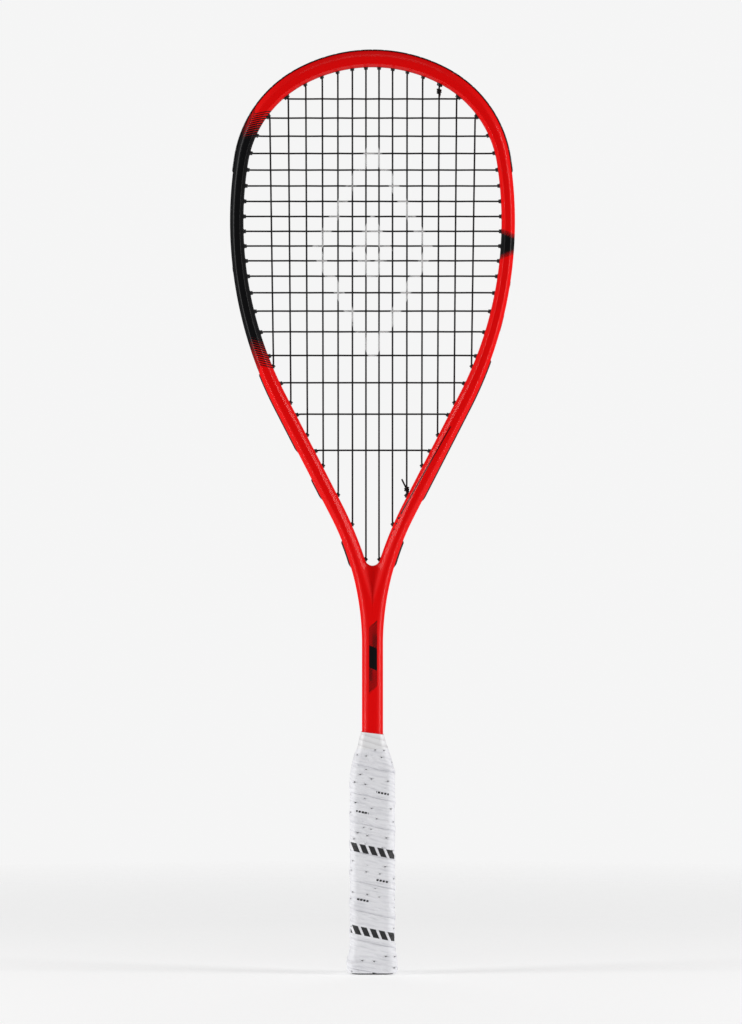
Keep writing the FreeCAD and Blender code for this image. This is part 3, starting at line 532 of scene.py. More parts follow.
def headBlack(look, x, z, fromOut):
    # black over the left side between two hatched ends, and a hatched band on the right
    left = x.below(0.0, 0.02)
    outward = (fromOut * -1.0 + look["ridge"]).math("MAXIMUM", 0.0)
    inward = (fromOut - look["ridge"]).math("MAXIMUM", 0.0)
    slant = outward * 2.0 + inward * 0.28
    top = (z - slant) - look["blackTop"]
    foot = (z + slant) * -1.0 + look["blackFoot"]
    upper = top.below(0.0, 0.1).math("MAXIMUM", hatch(top, look["topRun"], look["stripe"]))
    lower = foot.below(0.0, 0.1).math("MAXIMUM", hatch(foot, look["footRun"], look["stripe"]))
    ring = (z - look["bandMiddle"]).size() - fromOut * 0.42 + 1.6 - look["bandHalf"]
    ring = ring.below(0.0, 0.1).math("MAXIMUM", hatch(ring, look["bandRun"], look["bandStripe"]))
    return (upper * lower * left).math("MAXIMUM", ring * left.flipped())


def legLineBlack(look, x, z, fromIn):
    # the pinstripe down the right leg's inside facet, going on as shrinking dots
    across = (fromIn - ((z - look["pinEnd"]).math("MAXIMUM", 0.0) * 0.05 + 1.5)).size()
    onLeg = x.above(0.0, 0.02) * z.below(look["pinTop"], 0.3)
    line = across.below(look["pinHalf"], 0.1) * z.above(look["pinEnd"], 0.3)
    step = ((z / look["dotPitch"]).math("FRACT") - 0.5).size() * look["dotPitch"]
    shrink = (z - look["dotEnd"]) * (0.9 / (look["pinEnd"] - look["dotEnd"]))
    away = (step * step + across * across).math("SQRT")
    return line.math("MAXIMUM", away.below(shrink, 0.12) * z.below(look["pinEnd"], 0.2)) * onLeg


def shaftBlack(look, x, z):
    # marks on the shaft: a slanted block with stripes that open out above and below it
    middle, halfBlock = look["markMiddle"], look["markBlock"]
    halfLong = (look["markTop"] - look["markFoot"]) / 2
    slide = (z - middle) + x * 0.45
    far = (slide.size() - halfBlock) / (halfLong - halfBlock)
    steep = (z - x).share(look["markStripe"]).below(0.56, 0.1) * (x * slide).above(0.0, 0.2)
    fine = slide.share(look["markFine"]).below(0.55, 0.15)
    fine = fine * ((x * slide).below(0.0, 0.2).math("MAXIMUM", far.below(0.5, 0.05)))
    reach = (z - middle).size() - x * slide.math("SIGN")
    onMark = (x - 0.45).size().below(look["markHalf"], 0.08) * reach.below(halfLong - 2.8, 0.1)
    return slide.size().below(halfBlock, 0.1).math("MAXIMUM", steep.math("MAXIMUM", fine)) * onMark


def lacquer(look):
    # three black patterns over the red, dulled by smudges and rubbed pale along the outer edge
    material, tree, sockets = newMaterial("frame_lacquer", Roughness=look["roughness"],
                                          Coat_Weight=look["coat"], Coat_Roughness=0.08, Coat_IOR=1.45,
                                          Specular_IOR_Level=0.07)
    vector, x, _, z = objectPlace(tree)
    fromOut, fromIn = kept(tree, "fromOut"), kept(tree, "fromIn")
    smudge, scratch = useHandled(tree, "Smudge", "Scratch")
    black = headBlack(look, x, z, fromOut).math("MAXIMUM", legLineBlack(look, x, z, fromIn))
    black = black.math("MAXIMUM", shaftBlack(look, x, z))
    dulled = tuple(part * look["smudged"] for part in look["red"][:3]) + (1,)
    paint = mixed(tree, black, mixed(tree, smudge * 0.25, look["red"], dulled), look["black"])
    rub = scratch * (fromOut.below(0.9, 0.4)) * 0.25
    feed(tree, sockets["Base Color"], mixed(tree, rub, paint, look["rub"]))
    feed(tree, sockets["Roughness"], smudge * 0.12 + look["roughness"])
    feed(tree, sockets["Normal"], bump(tree, noise(tree, vector, 420.0, 2.0), look["orangePeel"], 0.6))
    return material


def plastic(name, colour, roughness, grainDepth, wear):
    # moulded black plastic with a fine sparked grain and pale rubbed places
    material, tree, sockets = newMaterial(name, Base_Color=colour, Roughness=roughness)
    grain, smudge, scratch = useHandled(tree, "Grain", "Smudge", "Scratch")
    feed(tree, sockets["Base Color"], mixed(tree, scratch * wear, colour, (0.12, 0.12, 0.12, 1)))
    feed(tree, sockets["Roughness"], smudge * 0.2 + (roughness - 0.1))
    feed(tree, sockets["Normal"], bump(tree, grain, grainDepth, 0.5))
    return material


def finishPiece(piece, material, nodes=()):
    piece.data.materials.append(material)
    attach(piece, "root")
    if nodes:
        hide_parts(*nodes)
    print(piece.name, "made:", len(piece.data.polygons), "faces")


finishPiece(makeBeam(beamShape), lacquer(lacquerLook), ["frame"])


def tube(paths, radius, sides, step=0.9, ease=1.0):
    # a round section carried along a path of corner points; the corners are eased by averaging
    # the path over a bell-shaped weight, ease wide
    points, faces, count, fine, dome = [], [], 0, 0.2, 0.7
    for corners in paths:
        corners = np.asarray(corners, float)
        passed = np.concatenate([[0], np.cumsum(np.linalg.norm(np.diff(corners, axis=0), axis=1))])
        spots = np.linspace(0, passed[-1], int(passed[-1] / fine) + 2)
        path = np.stack([np.interp(spots, passed, corners[:, axis]) for axis in range(3)], 1)
        reach = int(round(3 * ease / fine))
        weight = np.exp(-0.5 * (np.arange(-reach, reach + 1) * fine / ease) ** 2)
        padded = np.pad(path, ((reach, reach), (0, 0)), "reflect", reflect_type="odd")
        weight /= weight.sum()
        path = np.stack([np.convolve(padded[:, axis], weight, "valid") for axis in range(3)], 1)
        path = path[np.linspace(0, len(path) - 1, int(passed[-1] / step) + 2).round().astype(int)]
        way = np.gradient(path, axis=0)
        way /= np.linalg.norm(way, axis=1, keepdims=True)
        side = np.cross(way, [0.02, 1.0, 0.03])
        side /= np.linalg.norm(side, axis=1, keepdims=True)
        up = np.cross(side, way)
        angle = oneWayRound(sides)
        # the ends are drawn in to a point through a small dome
        wide = np.concatenate([[0.45], np.full(len(path), 1.0), [0.45]]) * radius
        out = way * radius * dome
        path = np.concatenate([path[:1] - out[:1], path, path[-1:] + out[-1:]])
        side, up = (np.concatenate([part[:1], part, part[-1:]]) for part in (side, up))
        ring = side[:, None] * np.cos(angle)[:, None] + up[:, None] * np.sin(angle)[:, None]
        points.append((path[:, None] + ring * wide[:, None, None]).reshape(-1, 3))
        faces.append(gridFaces(len(path), sides, count, closedColumns=True))
        caps = np.arange(sides)[None, :] + count
        faces += [caps, caps[:, ::-1] + (len(path) - 1) * sides]
        count += len(path) * sides
    return np.concatenate(points), faces


# the stringing: where each string passes through the beam, woven over and under, tied off at two mains
stringShape = {
    "thick": 1.3, "mains": 7, "mainGap": 9.7, "mainSpread": 0.365, "mainLean": 0.075,
    "above": 9, "below": 9, "fall": 18.2, "gap": 10.9, "spreadAbove": 0.0152, "spreadBelow": 0.0735,
    "stand": 0.79, "level": 1.775, "mouth": 2.4, "lowMouth": 1.2, "lean": 0.3, "lowLean": 0.55,
    "mainLane": -1.3, "crossLane": 1.3, "longLane": -2.6, "loopLead": 3.5, "loopStep": 4.0, "clear": 1.0,
    "tieHigh": 4, "tieLow": 2, "twinStand": 0.7, "sides": 12,
    "knotTurns": 2.6, "knotWide": 1.04, "knotLead": 1.9, "highTail": 2.6, "tail": 6.5,
}


def makeHole(along, pull, shape, low=False):
    # the mouth inside the head, the way out through the beam and the foot in the groove
    level, lean = (shape["lowMouth"], shape["lowLean"]) if low else (shape["mouth"], shape["lean"])
    x, z = onLine(inner, along, level)
    turned = np.interp(along, inner[0], inner[3])
    way = np.array([math.sin(turned) + lean * pull[0], math.cos(turned) + lean * pull[1]])
    way /= np.hypot(*way)
    far = np.arange(0, 40, 0.05)  # further than the beam is thick along any hole
    inside = distanceTo(outer, x + way[0] * far, z + way[1] * far)
    foot = far[np.argmax(inside <= shape["level"])]
    spot = np.array([x, z]) + way * foot
    groove = outer[0][np.argmin(np.hypot(outer[1] - spot[0], outer[2] - spot[1]))]
    return {"mouth": np.array([x, z]), "way": way, "foot": foot, "groove": float(groove), "level": level,
            "low": low}


def makeHoles(shape):
    # mains stand at gap * (k + 1/2) + spread * k squared; crosses at gap * n + spread * n cubed
    legs = inner[0] < forkStart
    x, z = onLine(inner, inner[0][legs], shape["mouth"])
    lowX = onLine(inner, inner[0][legs], shape["lowMouth"])[0]
    halfway = np.argmin(np.abs(z - widest))
    mains, crosses = [], {}
    for k in range(shape["mains"]):
        place = shape["mainGap"] * (k + 0.5) + shape["mainSpread"] * k ** 2
        top = np.interp(place, x[:halfway], inner[0][legs][:halfway])
        low = np.interp(-(place - shape["mainLean"] * k ** 2), -lowX[halfway:], inner[0][legs][halfway:])
        mains.append((makeHole(top, (0, 1), shape), makeHole(low, (0, -1), shape, True)))
    for n in range(-shape["below"], shape["above"] + 1):
        spread = shape["spreadAbove"] if n > 0 else shape["spreadBelow"]
        height = widest - shape["fall"] + shape["gap"] * n + spread * n ** 3
        along = np.interp(-height, -z, inner[0][legs])
        crosses[n] = makeHole(along, (1, 0), shape)
    return mains, crosses


mains, crosses = makeHoles(stringShape)
print("holes worked out:", len(mains), "mains a side and", len(crosses), "crosses")


def atHole(hole, mirror, distance, y):
    # the point at a distance out of the mouth, mirrored for the left side
    x, z = hole["mouth"] + hole["way"] * distance
    return (mirror * x, y, z)


def loop(first, mirrorA, second, mirrorB, lane, yA=0.0, yB=0.0):
    # from one foot to the next along the groove, in a lane of its own
    start, end = mirrorA * first["groove"], mirrorB * second["groove"]
    way = 1 if end > start else -1
    lead, count = way * stringShape["loopLead"], int(abs(end - start) / stringShape["loopStep"])
    middle = np.linspace(start + lead, end - lead, max(2, count))
    x, z = onLine(outer, np.abs(middle), stringShape["level"])
    rows = [(math.copysign(px, spot), lane, pz) for px, pz, spot in zip(x, z, middle)]
    return [atHole(first, mirrorA, first["foot"], yA)] + rows + [atHole(second, mirrorB, second["foot"], yB)]


def mainX(k, mirror, z):
    # a main runs straight between its two mouths
    (topX, topZ), (lowX, lowZ) = mains[k][0]["mouth"], mains[k][1]["mouth"]
    return mirror * (lowX + (topX - lowX) * (z - lowZ) / (topZ - lowZ))


def weave(mirror, k, n):
    # a main passes in front of every second cross and behind the others
    return 1 if ((k if mirror > 0 else -1 - k) + n) % 2 else -1


def meet(k, n):
    # whether main k and cross n pass each other, clear of their mouths
    top, low = mains[k]
    clear, (edge, z) = stringShape["clear"], crosses[n]["mouth"]
    return low["mouth"][1] + clear < z < top["mouth"][1] - clear and mainX(k, 1, z) < edge - clear


def mainSpan(mirror, k, down, yTop=0.0, yLow=0.0):
    # from hole to hole, standing off the middle plane at every cross it meets
    top, low = mains[k]
    rows = []
    for n in sorted(crosses, reverse=True):
        z = crosses[n]["mouth"][1]
        if meet(k, n):
            rows.append((mainX(k, mirror, z), stringShape["stand"] * weave(mirror, k, n), z))
    rows = [atHole(top, mirror, 0, yTop)] + rows + [atHole(low, mirror, 0, yLow)]
    return rows if down else rows[::-1]


def crossSpan(n, right):
    # from side to side at one height, standing off against the main at every crossing
    x, z = crosses[n]["mouth"]
    rows = [(-x, 0.0, z)]
    for mirror, k in [(-1, k) for k in reversed(range(len(mains)))] + [(1, k) for k in range(len(mains))]:
        if meet(k, n):
            rows.append((mainX(k, mirror, z), -stringShape["stand"] * weave(mirror, k, n), z))
    rows.append((x, 0.0, z))
    return rows if right else rows[::-1]


def mainPath(shape):
    # one string: up and down every main from right to left, then along the left leg to the lowest cross
    last, twin = len(mains) - 1, shape["twinStand"]
    begin = mains[shape["tieLow"]][1]
    rows = [atHole(begin, 1, 0, -twin)] + loop(begin, 1, mains[last][1], 1, shape["longLane"], -twin)
    order = [(1, k) for k in range(last, -1, -1)] + [(-1, k) for k in range(last + 1)]
    for place, (mirror, k) in enumerate(order):
        down = place % 2 == 1
        high, low = (1, shape["tieHigh"]), (1, shape["tieLow"])
        rows += mainSpan(mirror, k, down, -twin * ((mirror, k) == high), twin * ((mirror, k) == low))
        if place < 2 * last + 1:
            after = order[place + 1]
            end = 1 if down else 0
            tied, stand = (low, twin) if down else (high, -twin)
            lane = shape["crossLane"] if down and low in ((mirror, k), after) else shape["mainLane"]
            rows += loop(mains[k][end], mirror, mains[after[1]][end], after[0], lane,
                         stand * ((mirror, k) == tied), stand * (after == tied))
    return rows + loop(mains[last][1], -1, crosses[min(crosses)], -1, shape["longLane"])


def crossPath(shape):
    # the other string: from side to side up the head, ending at the upper tied main
    order = sorted(crosses)
    rows = [atHole(crosses[order[0]], -1, crosses[order[0]]["foot"], 0)]
    for place, n in enumerate(order):
        side = 1 if place % 2 == 0 else -1
        rows += crossSpan(n, side > 0)
        if place + 1 < len(order):
            rows += loop(crosses[n], side, crosses[order[place + 1]], side, shape["crossLane"])
    tie = mains[shape["tieHigh"]][0]
    rows += loop(crosses[order[-1]], 1, tie, 1, shape["crossLane"], 0.0, shape["twinStand"])
    return rows + [atHole(tie, 1, 0, shape["twinStand"])]


def knotPath(k, high, shape):
    # out of the barrel beside the main, round it in a helix and off in a short tail
    thick, twin = shape["thick"], shape["twinStand"]
    hole = mains[k][0 if high else 1]
    away, stand = (-1, -twin) if high else (1, twin)
    span = mainSpan(1, k, True, -twin if high else 0, 0 if high else twin)
    span = np.array(span if high else span[::-1])
    wide = thick * shape["knotWide"]
    angle = np.linspace(0, shape["knotTurns"] * 2 * math.pi, 70)
    z = hole["mouth"][1] + away * (shape["knotLead"] + thick * 1.02 * angle / 2 / math.pi)
    middle = [np.interp(away * z, away * span[:, 2], span[:, axis]) for axis in (0, 1)]
    begin = math.pi / 2 * (1 if stand < 0 else -1)
    x = middle[0] + wide * np.cos(begin + angle)
    y = middle[1] + wide * np.sin(begin + angle)
    rows = [(hole["mouth"][0] + hole["way"][0] * 1.5, -stand, hole["mouth"][1] + hole["way"][1] * 1.5)]
    rows += list(zip(x, y, z))
    out, length = ((-0.25, -0.5, away), shape["highTail"]) if high else ((-0.42, -0.3, 0.86), shape["tail"])
    end = np.array(rows[-1])
    return rows + [tuple(end + np.array(out) * length * share) for share in (0.3, 0.65, 1.0)]


# nylon: black, with a pale generic lozenge stencilled on the front and rubbed through in places
stringLook = {"black": (0.006, 0.006, 0.007, 1), "ink": (0.50, 0.50, 0.50, 1), "roughness": 0.3,
              "middle": 537.0, "halfWidth": 46.0, "halfHeight": 84.0, "line": 0.17, "core": 0.33}


def nylon(look, stencilled):
    # glossy black; the stencil is a ring and a core of one lozenge, inked on sides that face the front
    material, tree, sockets = newMaterial("string_nylon" if stencilled else "string_nylon_plain",
                                          Base_Color=look["black"], Roughness=look["roughness"],
                                          Specular_IOR_Level=0.22)
    grain, smudge = useHandled(tree, "Grain", "Smudge")
    if stencilled:
        _, x, _, z = objectPlace(tree)
        # lozenge distance: 1 on the outer point of each axis
        away = (x / look["halfWidth"]).size() + ((z - look["middle"]) / look["halfHeight"]).size()
        away = away + (smudge - 0.5) * 0.03
        ring = away.below(1.0, 0.02) * away.above(1.0 - look["line"], 0.02)
        ink = ring.math("MAXIMUM", away.below(look["core"], 0.02) * away.above(look["core"] * 0.4, 0.02))
        facing = node(tree, "ShaderNodeSeparateXYZ", 1, {0: node(tree, "ShaderNodeNewGeometry", "Normal")})
        ink = ink * facing.below(-0.15, 0.3) * (grain * 0.6 + smudge).below(0.92, 0.1)
        feed(tree, sockets["Base Color"], mixed(tree, ink, look["black"], look["ink"]))
        feed(tree, sockets["Roughness"], ink * 0.3 + look["roughness"])
    feed(tree, sockets["Normal"], bump(tree, grain, 0.00001, 0.35))
    return material


def makeString(name, nodeName, material, paths, **section):
    # a round section along one or more paths, joined into one piece
    points, faces = tube(paths, **section)
    piece = makeMesh(name, points * mm, faces)
    tidyMesh(piece)
    finishPiece(piece, material, [nodeName])


def makeStrings(shape):
    # the mains, the crosses and both knots
    plain, inked = nylon(stringLook, False), nylon(stringLook, True)
    half = shape["thick"] / 2
    makeString("mains", "main_string", inked, [mainPath(shape)], radius=half, sides=shape["sides"])
    makeString("crosses", "cross_string", inked, [crossPath(shape)], radius=half, sides=shape["sides"])
    knots = [knotPath(shape["tieHigh"], True, shape), knotPath(shape["tieLow"], False, shape)]
    makeString("knots", "tie_off_knots", plain, knots, radius=half * 0.97, sides=16, step=0.25, ease=0.35)


makeStrings(stringShape)


# the bumper and the grommet strips, each a section carried along the groove with a barrel at every hole
stripShape = {
    "plate": 1.0, "depth": 3.5, "half": 4.4, "bumperProud": 0.8, "guardProud": 0.9, "wing": 1.75,
    "bumperEnd": 36.0, "guardTop": -100.0, "guardEnd": -218.0, "throatEnd": -260.0, "gap": 0.3,
    "barrel": 1.45, "bore": 0.85, "tieBarrel": 2.1, "tieBore": 1.45, "barrelSides": 20, "collar": 0.4,
    "tip": 0.2, "lowTip": -0.9, "step": 0.8, "sideProud": 0.25, "throatProud": 1.15, "round": 0.28,
    "sunk": 0.35, "fade": 6.0, "notchPitch": 9.0, "notchDepth": 0.35, "throatShown": [(299.0, 322.0)],
    "sideShown": {"left": [(516.0, 526.0)], "right": [(472.0, 490.0), (505.0, 515.0)]},
    "lowerShown": {"left": [(349.0, 368.0), (384.0, 446.0)], "right": [(348.0, 456.0)]},
}


def stripSection(proud, wing, shape):
    # half of the section as (y, depth under the outline), from the channel's middle out and back below
    half, depth, r = shape["half"], shape["depth"], shape["round"]
    floor, side, edge = depth - shape["plate"], half - shape["plate"], half + wing
    rows = [(0, floor), (side - r, floor), (side - 0.1, floor - 0.1), (side, floor - r)]
    rows += [(side, r - proud), (side + 0.1, 0.1 - proud), (side + r, -proud)]
    if wing:
        # a shallow saddle between the rib and the wing's edge wears evenly
        rows += [(half + 0.2, -proud + 0.12), (edge - 0.7, -proud), (edge - 0.25, 0.08 - proud)]
        rows += [(edge, 0.4 - proud), (edge, -0.12), (edge - 0.1, -0.02), (half + 0.02, -0.02)]
    else:
        rows += [(half - r, -proud), (half - 0.1, 0.1 - proud), (half, r - proud)]
    rows += [(half, depth - 0.1), (half - 0.1, depth), (0, depth)]
    rows = np.array(rows)
    back = rows[-2:0:-1] * [-1, 1]
    return np.concatenate([rows, back])


def stripAlong(start, stop, proud, wing, mirror, shape, shown):
    # every point of the section moves in from the outline by its depth, square to the outline
    section = stripSection(proud, wing, shape)
    along = np.linspace(start, stop, int((stop - start) / shape["step"]) + 2)
    y, depth = section[:, 0], section[:, 1][None, :]
    # the outside sinks to the beam's level at the ends and wherever the strip isn't shown
    height = onLine(outer, along)[1]
    rise = np.zeros_like(along)
    for low, high in shown:
        risen = smoothStep(height, low, low + shape["fade"]) * smoothStep(-height, -high, 2.0 - high)
        rise = np.maximum(rise, risen)
    ends = np.sqrt(np.clip(np.minimum(along - start, stop - along) / 1.2, 0.0, 1.0))
    ends = np.where((start <= 0) & (along < 5), 1.0, ends)
    rise = (rise if shown else np.ones_like(along)) * (ends * 0.5 + 0.5)
    rise = rise[:, None]
    inward = np.where(depth < 1, depth * rise + (1 - rise) * shape["sunk"], depth)
    if wing:
        # notches across the wing let the bumper bend round the crown
        fromCut = np.abs((along / shape["notchPitch"]) % 1.0 - 0.5)[:, None]
        notch = smoothStep(fromCut, 0.455, 0.485) * shape["notchDepth"]
        inward = inward + notch * (depth < -0.3) * (np.abs(y)[None, :] > shape["half"] - 0.4)
    x, z = onLine(outer, along[:, None], inward)
    points = np.stack([mirror * x, np.broadcast_to(y, x.shape), z], -1).reshape(-1, 3)
    return points, gridFaces(len(along), len(y), closedColumns=True), len(along), len(y)


def barrel(hole, mirror, wide, bore, shape):
    # a tube through the beam as a turned profile: a rounded lip inside the head, a collar at the beam
    lip, end, first = 0.25, hole["foot"] - 0.6, shape["lowTip" if hole["low"] else "tip"]
    collar = max(hole["level"] - 0.3, first + 0.85)
    profile = [(end, bore), (first + lip, bore), (first + lip * 0.3, bore + lip * 0.3), (first, bore + lip),
               (first, wide - lip), (first + lip * 0.3, wide - lip * 0.3), (first + lip, wide),
               (collar - 0.45, wide), (collar - 0.3, wide + shape["collar"]),
               (collar + 0.3, wide + shape["collar"]), (collar + 0.5, wide), (end, wide)]
    far, radius = np.array(profile).T
    angle = oneWayRound(shape["barrelSides"])
    way = np.array([mirror * hole["way"][0], 0, hole["way"][1]])
    side = np.array([way[2], 0, -way[0]])
    middle = np.array([mirror * hole["mouth"][0], 0, hole["mouth"][1]]) + way * far[:, None]
    ring = side * np.cos(angle)[:, None] + np.array([0, 1, 0]) * np.sin(angle)[:, None]
    return (middle[:, None] + ring * radius[:, None, None]).reshape(-1, 3), len(far), len(angle)


def barrelHoles(start, stop):
    # every hole whose foot lies on a stretch of the groove
    holes = [top for top, low in mains] + [low for top, low in mains] + list(crosses.values())
    return [hole for hole in holes if start < hole["groove"] < stop]


def makeStrip(name, start, stop, proud, sides, wing, material, nodes, shape, shown=()):
    # one strip and its barrels as one moulding, wider barrels where two strings share a hole
    tiedHoles = (mains[stringShape["tieHigh"]][0], mains[stringShape["tieLow"]][1])
    points, faces, count = [], [], 0
    for mirror in sides:
        block, quads, rows, columns = stripAlong(start, stop, proud, wing, mirror, shape, shown)
        points.append(block)
        faces.append(quads + count)
        ends = [np.arange(columns)[None, :] + count + row * columns for row in (0, rows - 1)]
        faces += ends[1:] if start <= 0 else ends
        count += len(block)
        for hole in barrelHoles(start, stop):
            tied = mirror > 0 and any(hole is other for other in tiedHoles)
            wide, bore = (shape["tieBarrel"], shape["tieBore"]) if tied else (shape["barrel"], shape["bore"])
            block, rows, columns = barrel(hole, mirror, wide, bore, shape)
            points.append(block)
            faces.append(gridFaces(rows, columns, count, closedRows=True, closedColumns=True))
            count += len(block)
    piece = makeMesh(name, np.concatenate(points) * mm, faces)
    tidyMesh(piece, 35, 1e-6)
    finishPiece(piece, material, nodes)


def makeStrips(shape):
    # lengths of groove between named heights, bumper first, throat last
    material = plastic("strip_plastic", (0.008, 0.008, 0.009, 1), 0.42, 0.00003, 0.35)
    bumper, guard, throat, last = (alongAt(outer, widest + shape[key])
                                   for key in ("bumperEnd", "guardTop", "guardEnd", "throatEnd"))
    gap = shape["gap"]
    makeStrip("bumper", 0.0, bumper - gap, shape["bumperProud"], (1, -1), shape["wing"], material,
              ["head_bumper"], shape)
    for mirror, word in ((-1, "left"), (1, "right")):
        makeStrip("sideStrip_" + word, bumper + gap, guard - gap, shape["sideProud"], (mirror,), 0, material,
                  ["side_grommet_strip_" + word], shape, shape["sideShown"][word])
        makeStrip("lowerStrip_" + word, guard + gap, throat - gap, shape["guardProud"], (mirror,), 0,
                  material, ["lower_grommet_strip_" + word], shape, shape["lowerShown"][word])
        makeStrip("throatStrip_" + word, throat + gap, last, shape["throatProud"], (mirror,), 0, material,
                  ["throat_grommet_strip_" + word], shape, shape["throatShown"])


makeStrips(stripShape)


# the handle's outside: half width, half depth and corner at every height, with a flared butt and a long taper
handleShape = {
    "width": 33.4, "depth": 27.4, "corner": 9.0, "flare": 2.2, "flareAt": 6.0, "flareRun": 17.0, "round": 4.2,
    "top": 178.0, "neck": 33.0, "shaft": 15.6, "over": 0.5,
}


def handleSize(z, inset, shape):
    # the flare dies out along a cosine, the taper follows a smooth step, the butt's end a quarter circle
    gone = np.clip((z - shape["flareAt"]) / shape["flareRun"], 0, 1)
    flare = shape["flare"] * (0.5 + 0.5 * np.cos(math.pi * gone))
    low = np.clip(1 - z / shape["round"], 0, 1)
    drop = shape["round"] * (1 - np.sqrt(1 - low * low))
    share = np.clip((z - shape["top"] + shape["neck"]) / shape["neck"], 0, 1)
    share = 0.5 * share ** 1.9 + 0.5 * share * share * (3 - 2 * share)
    halves = []
    for full, thin in ((shape["width"], shape["shaft"]), (shape["depth"], beamDepth)):
        neck = thin / 2 + shape["over"]
        halves.append(full / 2 + flare - drop + (neck - full / 2) * share - inset * (1 - 0.75 * share))
    corner = np.minimum(shape["corner"], 0.55 * np.minimum(*halves)) - 0.4 * inset
    return halves[0], halves[1], corner


def handlePoint(angle, z, inset, shape):
    # a rounded rectangle met by a ray at an angle from its middle, turned counterclockwise from +X
    halfX, halfY, corner = handleSize(z, inset, shape)
    wayX, wayY = np.abs(np.cos(angle)), np.abs(np.sin(angle))
    flatX, flatY = halfX - corner, halfY - corner
    straight = np.minimum(halfX / np.maximum(wayX, 1e-9), halfY / np.maximum(wayY, 1e-9))
    middle = flatX * wayX + flatY * wayY
    inside = np.maximum(middle ** 2 - flatX ** 2 - flatY ** 2 + corner ** 2, 0)
    arc = middle + np.sqrt(inside)
    onArc = (straight * wayX > flatX) & (straight * wayY > flatY)
    far = np.where(onArc, arc, straight)
    return far * np.cos(angle), far * np.sin(angle)


# the tape: a strip wound up the handle, each turn lapping over the one under it
tapeShape = {
    "width": 25.0, "pitch": 21.6, "thick": 1.55, "under": 0.55, "first": -19.5, "low": 1.3, "high": 167.6,
    "perTurn": 190, "across": 40, "coarse": 3, "least": 0.35, "ridge": 0.42, "hem": 0.28, "hemRun": 0.55,
    "secondRidge": 0.24, "secondAt": 3.0, "crease": 0.10, "lapUnder": 0.62,
}


def evenAngles(shape, count):
    # ray angles for even steps round the section in the middle of the grip
    ray = np.linspace(0, 2 * math.pi, 4001)
    x, y = handlePoint(ray, np.full_like(ray, 100.0), 0.0, shape)
    passed = np.concatenate([[0], np.cumsum(np.hypot(np.diff(x), np.diff(y)))])
    return np.interp(np.linspace(0, passed[-1], count, endpoint=False), passed, ray), passed[-1]


def tapeHeights(place, z, u, base, shape):
    # height of the tape's two faces over the handle: full thickness, lifted where it lies on the turn below,
    # thinned where it is lapped, with hump-shaped ridges and sine creases that fade across it
    lapped = shape["width"] - shape["pitch"]
    lift = smoothStep(-place, -lapped - 1.6, -lapped + 0.8) * smoothStep(base, -2.0, 1.0)
    tucked = smoothStep(place, shape["pitch"] - 0.6, shape["pitch"] + 0.5)
    hem = shape["hem"] * np.exp(-(place / shape["hemRun"]) ** 2) * (base > shape["low"])
    ridge = shape["secondRidge"] * np.exp(-((place - shape["secondAt"]) / 0.6) ** 2)
    ridge -= shape["secondRidge"] / 3 * np.exp(-((place - shape["secondAt"] - 1.6) / 0.9) ** 2)
    crease = shape["crease"] * np.sin(u * 0.9 + 3 * np.sin(place * 0.5) + 0.35 * u ** 1.1)
    crease *= np.sin(u * 0.13 + place * 0.21) ** 2 * (0.3 + 0.7 * np.exp(-((place - 4.5) / 4) ** 2))
    top = shape["ridge"] * lift - hem + ridge - (shape["under"] + 0.35) * tucked + crease
    edge = np.maximum(np.minimum(z - shape["low"], shape["high"] - z), 0)
    top = top - shape["least"] * np.exp(-edge / shape["least"])
    onTurn = smoothStep(-place, -lapped - 0.4, -lapped + 0.3) * (base > 1.0)
    bottom = -shape["thick"] + (shape["thick"] - shape["lapUnder"]) * onTurn - 0.02 * tucked
    return top, np.minimum(bottom, top - shape["least"])


def tapeEdges(rows, outCount, inCount, coarse):
    # quads along both long edges, and rungs of the finer face against the coarser one at the cut ends
    shift, faces = rows * outCount, []
    row = np.arange(rows - 1)
    for outColumn, inColumn in ((0, 0), (outCount - 1, inCount - 1)):
        outer, inner = row * outCount + outColumn, shift + row * inCount + inColumn
        faces.append(np.stack([outer, outer + outCount, inner + inCount, inner], -1))
    spot = np.minimum((np.arange(outCount) + 1) // coarse, inCount - 1)
    for row in (0, rows - 1):
        fine, near = row * outCount + np.arange(outCount), shift + row * inCount + spot
        quads = np.stack([fine[:-1], fine[1:], near[1:], near[:-1]], -1)
        same = near[1:] == near[:-1]
        faces += [quads[~same], quads[same][:, :3]]
    return faces


